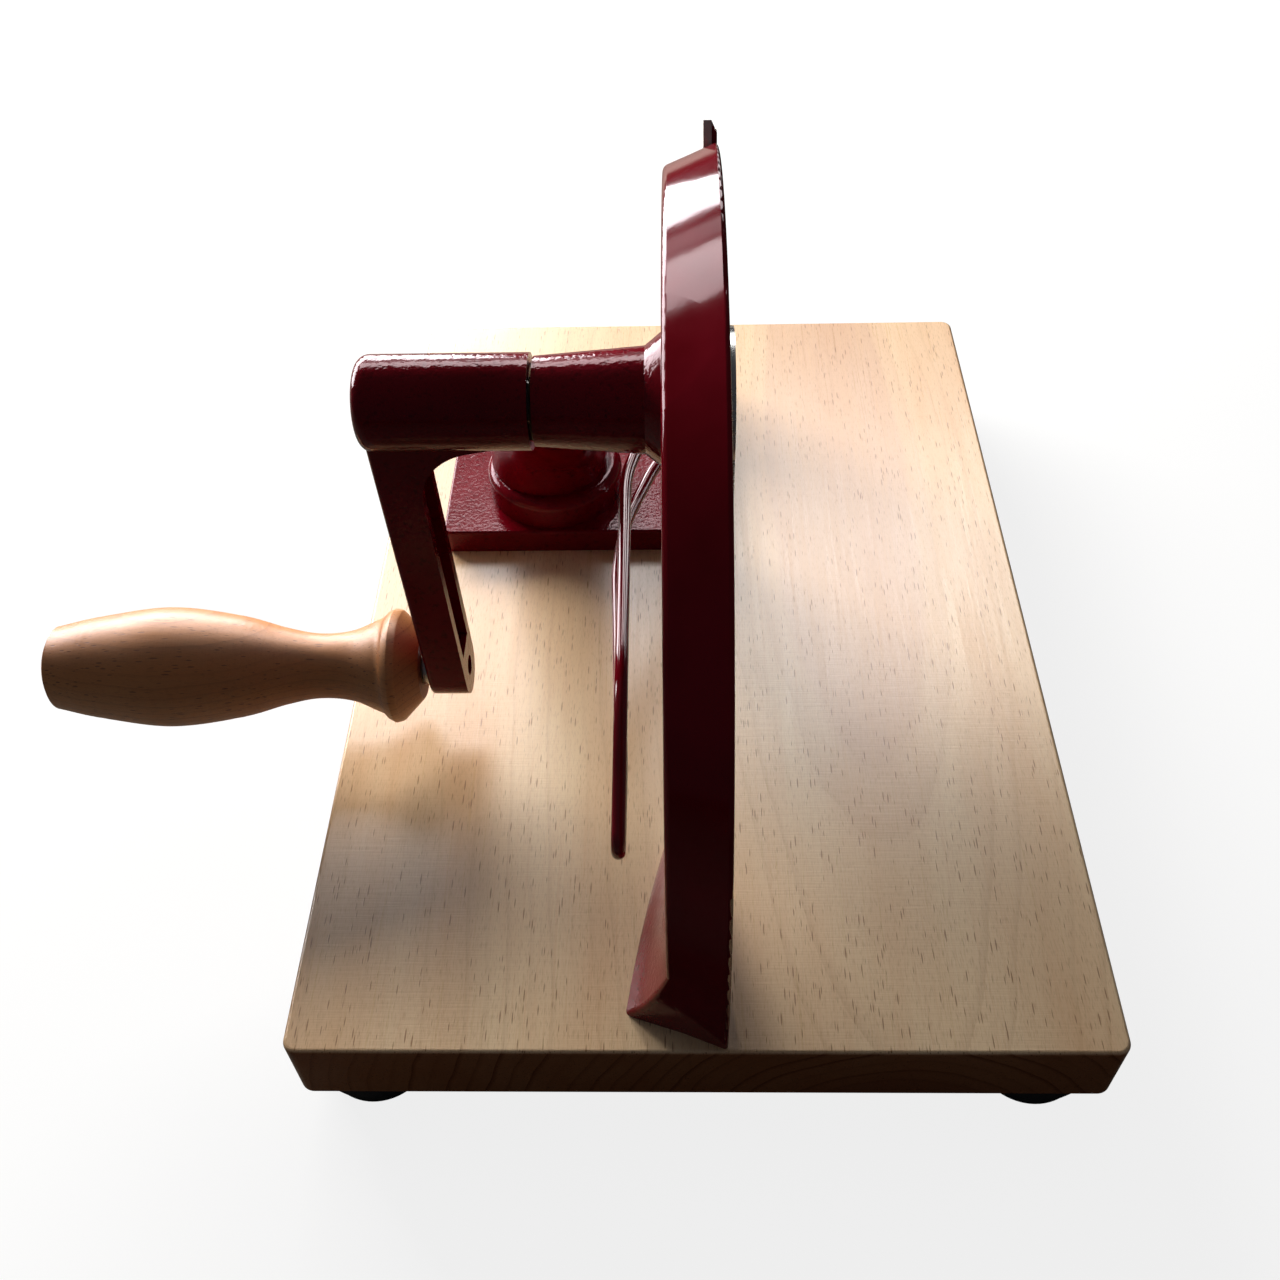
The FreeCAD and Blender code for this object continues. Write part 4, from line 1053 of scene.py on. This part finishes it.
@dataclass
class Guide:
    """The bent bar that sets the slice, its post and its lock knob.

    high_way and low_way are the bar's two ways out of the sleeve, seen from above.
    """

    post: Span = (41.55, 32.8)
    sleeve_radius: float = 6.0
    bar_radius: float = 1.85
    high_weld: float = 101.0
    high_way: Span = (-8.0, -12.0)
    low_weld: float = 82.8
    low_way: Span = (-11.0, -15.0)
    bead: float = 0.85
    bead_gap: float = 0.25
    bead_turns: int = 66
    bead_sides: int = 12
    ripples: int = 11
    ripple_share: float = 0.13
    knob_foot: float = 108.5
    knob_radius: float = 7.4
    knob_bore: float = 4.15
    knob_turns: int = 768
    neck_radius: float = 6.0
    neck_height: float = 2.0
    shoulder_height: float = 9.0
    top_height: float = 10.5
    top_radius: float = 5.4
    corner_steps: int = 6
    flutes: int = 8
    flute_depth: float = 0.8
    flute_width: float = 1.6
    land_width: float = 0.6
    fluted_from: float = 6.1
    knurls: int = 96
    knurl_depth: float = 0.12

    def weld(self, name: str, height: float, toward: Span) -> Piece:
        """The rippled weld bead where one end of the bar enters the sleeve.

        It is a ring round the bar, laid on the sleeve's curved side. Its thickness swings with
        a sine round the bar.

        Args:
            name: the bead's name.
            height: the bar's height there.
            toward: the bar's way out of the sleeve, seen from above.

        Returns:
            The bead.
        """
        turn = np.linspace(0, FULL_TURN, self.bead_turns, endpoint=False)[:, None]
        lobe = np.linspace(0, FULL_TURN, self.bead_sides, endpoint=False)[None, :]
        thick = self.bead * (1 + self.ripple_share * np.sin(self.ripples * turn))
        ring = self.bar_radius + self.bead_gap
        reach = ring + thick * np.cos(lobe)
        side, up = reach * np.cos(turn), reach * np.sin(turn)
        out = np.sqrt(self.sleeve_radius**2 - (ring * np.cos(turn)) ** 2) + thick * np.sin(lobe)
        length = math.hypot(*toward)
        way_x, way_y = toward[0] / length, toward[1] / length
        grid_x = self.post[0] + out * way_x - side * way_y
        grid_y = self.post[1] + out * way_y + side * way_x
        piece = mesh_of(name, np.stack([grid_x, grid_y, height + up], axis=-1), True, True)
        return finished(piece, SMOOTH_ENAMEL, "guide", "red_enamel", sharp=80.0)

    def knob(self) -> Piece:
        """The fluted lock knob, with a fine knurl on its lobes and soft rims.

        Its profile goes round the post. The flutes and the knurl are taken off the radius: a
        clipped cosine for the flutes, and small arcs between them for the knurl.

        Returns:
            The knob.
        """
        foot = eased([
            (0, self.knob_bore, 0.2), (0, self.neck_radius, 0.4),
            (self.neck_height, self.neck_radius, 0.3), (self.neck_height, self.knob_radius, 0.5),
            (self.shoulder_height, self.knob_radius, 0.8),
            (self.top_height, self.top_radius, 0.5), (self.top_height, self.knob_bore, 0.2),
        ], self.corner_steps)
        angle = np.arange(self.knob_turns) * FULL_TURN / self.knob_turns
        wave = np.cos(self.flutes * angle)
        hollow = np.clip(wave * self.flute_width - self.land_width, 0, 1)
        knurl = self.knurl_depth * np.abs(np.sin(self.knurls * angle / 2)) * (1 - hollow)
        dip = self.flute_depth * np.sin(hollow * math.pi / 2) + knurl
        rise = (foot[:, 1] - self.fluted_from) / (self.knob_radius - self.fluted_from)
        radius = foot[:, 1:] - dip[None, :] * np.clip(rise, 0, 1)[:, None]
        grid = revolved(foot[:, 0], radius, self.knob_turns)
        place = np.stack([grid[..., 1] + self.post[0], grid[..., 2] + self.post[1],
                          grid[..., 0] + self.knob_foot], axis=-1)
        piece = mesh_of("fluted_lock_knob", place, True, True)
        return finished(piece, ZINC, "lock_knob", "bright_steel", "guide_lock_knob")

    def build(self) -> None:
        """Dresses the guide and its post, and makes the knob and the welds."""
        dress(SMOOTH_ENAMEL, ["thickness_guide"])
        dress(SPINDLE_STEEL, ["guide_post"])
        dress(ZINC, ["guide_washer_low", "guide_washer_high"])
        self.weld("guide_weld_high", self.high_weld, self.high_way)
        self.weld("guide_weld_low", self.low_weld, self.low_way)
        self.knob()


# Studio


@dataclass(frozen=True)
class Lamp:
    """A soft rectangular lamp that looks at the object from a compass direction and a height.

    Angles are in degrees as seen from the object, and far is in metres.
    """

    name: str
    azimuth: float
    elevation: float
    width: float
    height: float
    radiance: float
    tint: str = "#ffffff"
    diffuse: bool = True
    glossy: bool = True
    far: float = 0.8


@dataclass
class Studio:
    """The pale floor, the lamps and the camera.

    One wide lamp low behind the object and a weak one above light its colours. The others are
    the windows that its gloss mirrors.
    """

    eye: Size = (36.98, -308.34, 356.28)
    right: Size = (0.9996, 0.0146, -0.0262)
    ahead: Size = (-0.0292, 0.6717, -0.7403)
    lens: float = 36.53
    sensor: float = 36.0
    clip: Span = (0.01, 20.0)
    target: Size = (20.0, -20.0, 110.0)
    floor_reach: float = 3000.0
    floor_points: int = 9
    floor_glow: float = 0.84
    ambient: float = 0.065
    lamps: tuple[Lamp, ...] = field(default_factory=lambda: (
        Lamp("window_wash", -29.0, 17.0, 44.0, 16.0, 44.0, "#fffdf8", glossy=False, far=1.2),
        Lamp("window_low", -40.0, 14.0, 58.0, 24.0, 15.0, "#fbfbff", diffuse=False),
        Lamp("window_mid", -20.0, 31.5, 84.0, 5.0, 2.2, "#fffafb", diffuse=False),
        Lamp("window_high", -5.0, 44.5, 60.0, 15.0, 10.0, "#fffdfd", diffuse=False),
        Lamp("window_right", 15.0, 32.0, 24.0, 11.0, 6.0, "#fbfdff", diffuse=False),
        Lamp("fill", -20.0, 66.0, 60.0, 40.0, 0.5, "#fffaf4", glossy=False, far=1.4),
    ))

    def light(self, lamp: Lamp) -> None:
        """Hangs one lamp.

        Args:
            lamp: its place, its size in degrees as seen from the object, and its brightness.
        """
        turn, lift = math.radians(lamp.azimuth), math.radians(lamp.elevation)
        way = Vector((math.sin(turn) * math.cos(lift), math.cos(turn) * math.cos(lift),
                      math.sin(lift)))
        sizes = [2 * lamp.far * math.tan(math.radians(angle) / 2)
                 for angle in (lamp.width, lamp.height)]
        data = bpy.data.lights.new(lamp.name, "AREA")
        data.shape = "RECTANGLE"
        data.size, data.size_y = sizes
        data.color = colour(lamp.tint)[:3]
        data.energy = lamp.radiance * math.pi * sizes[0] * sizes[1]
        made = bpy.data.objects.new(lamp.name, data)
        made.location = Vector(self.target) * MM + way * lamp.far
        made.rotation_euler = way.to_track_quat("Z", "Y").to_euler()
        made.visible_camera = False
        made.visible_diffuse = lamp.diffuse
        made.visible_glossy = lamp.glossy
        bpy.context.scene.collection.objects.link(made)

    def floor(self) -> None:
        """A wide pale floor that looks nearly white and keeps a light shadow.

        To all rays but the camera's own it is a darker table.
        """
        reach = np.linspace(-self.floor_reach, self.floor_reach, self.floor_points)
        across, along = np.meshgrid(reach, reach, indexing="ij")
        level = np.stack([across, along, np.zeros_like(across)], axis=-1)
        made = mesh_of("floor", level, False, False)
        material = bpy.data.materials.new("pale_paper")
        material.use_nodes = True
        tree = material.node_tree
        tree.nodes.clear()
        paper = add(tree, "BsdfDiffuse", {"Color": colour("#f4f4f4")}).outputs[0]
        table = add(tree, "BsdfDiffuse", {"Color": colour("#6a6560")}).outputs[0]
        glow = add(tree, "Emission", {"Color": colour("#ffffff"), "Strength": 1.0}).outputs[0]
        pale = add(tree, "MixShader", {0: self.floor_glow, 1: paper, 2: glow}).outputs[0]
        seen = add(tree, "LightPath").outputs["Is Camera Ray"]
        both = add(tree, "MixShader", {0: seen, 1: table, 2: pale})
        add(tree, "OutputMaterial", {"Surface": both.outputs[0]})
        made.data.materials.append(material)

    def sky(self) -> None:
        """A plain world: white where the camera sees it, dim where it lights the object."""
        world = bpy.data.worlds.new("studio")
        bpy.context.scene.world = world
        world.use_nodes = True
        tree = world.node_tree
        tree.nodes.clear()
        dim = {"Color": colour("#eef2ff"), "Strength": self.ambient}
        white = {"Color": colour("#ffffff"), "Strength": 1.0}
        seen = add(tree, "LightPath").outputs["Is Camera Ray"]
        both = add(tree, "MixShader", {0: seen, 1: add(tree, "Background", dim).outputs[0],
                                       2: add(tree, "Background", white).outputs[0]})
        add(tree, "OutputWorld", {"Surface": both.outputs[0]})

    def camera(self) -> None:
        """Sets the camera where the photograph was taken from."""
        data = bpy.data.cameras.new("camera")
        data.sensor_width = self.sensor
        data.lens = self.lens
        data.clip_start, data.clip_end = self.clip
        made = bpy.data.objects.new("camera", data)
        x_axis = Vector(self.right).normalized()
        z_axis = -Vector(self.ahead).normalized()
        y_axis = z_axis.cross(x_axis).normalized()
        turn = Matrix((x_axis, y_axis, z_axis)).transposed().to_4x4()
        made.matrix_world = Matrix.Translation(Vector(self.eye) * MM) @ turn
        bpy.context.scene.collection.objects.link(made)
        bpy.context.scene.camera = made

    def build(self) -> None:
        """Builds the whole studio."""
        bpy.context.scene.view_settings.view_transform = "Standard"
        self.floor()
        self.sky()
        self.camera()
        for lamp in self.lamps:
            self.light(lamp)


def main() -> None:
    """Builds the sub-assemblies in order."""
    logging.basicConfig(level=logging.INFO, format="%(name)s %(message)s")
    Studio().build()
    for part in (Base(), Stand(), Crank(), Grip(), Guide()):
        part.build()
        LOG.info("built %s", type(part).__name__)


if __name__ == "__main__":
    main()
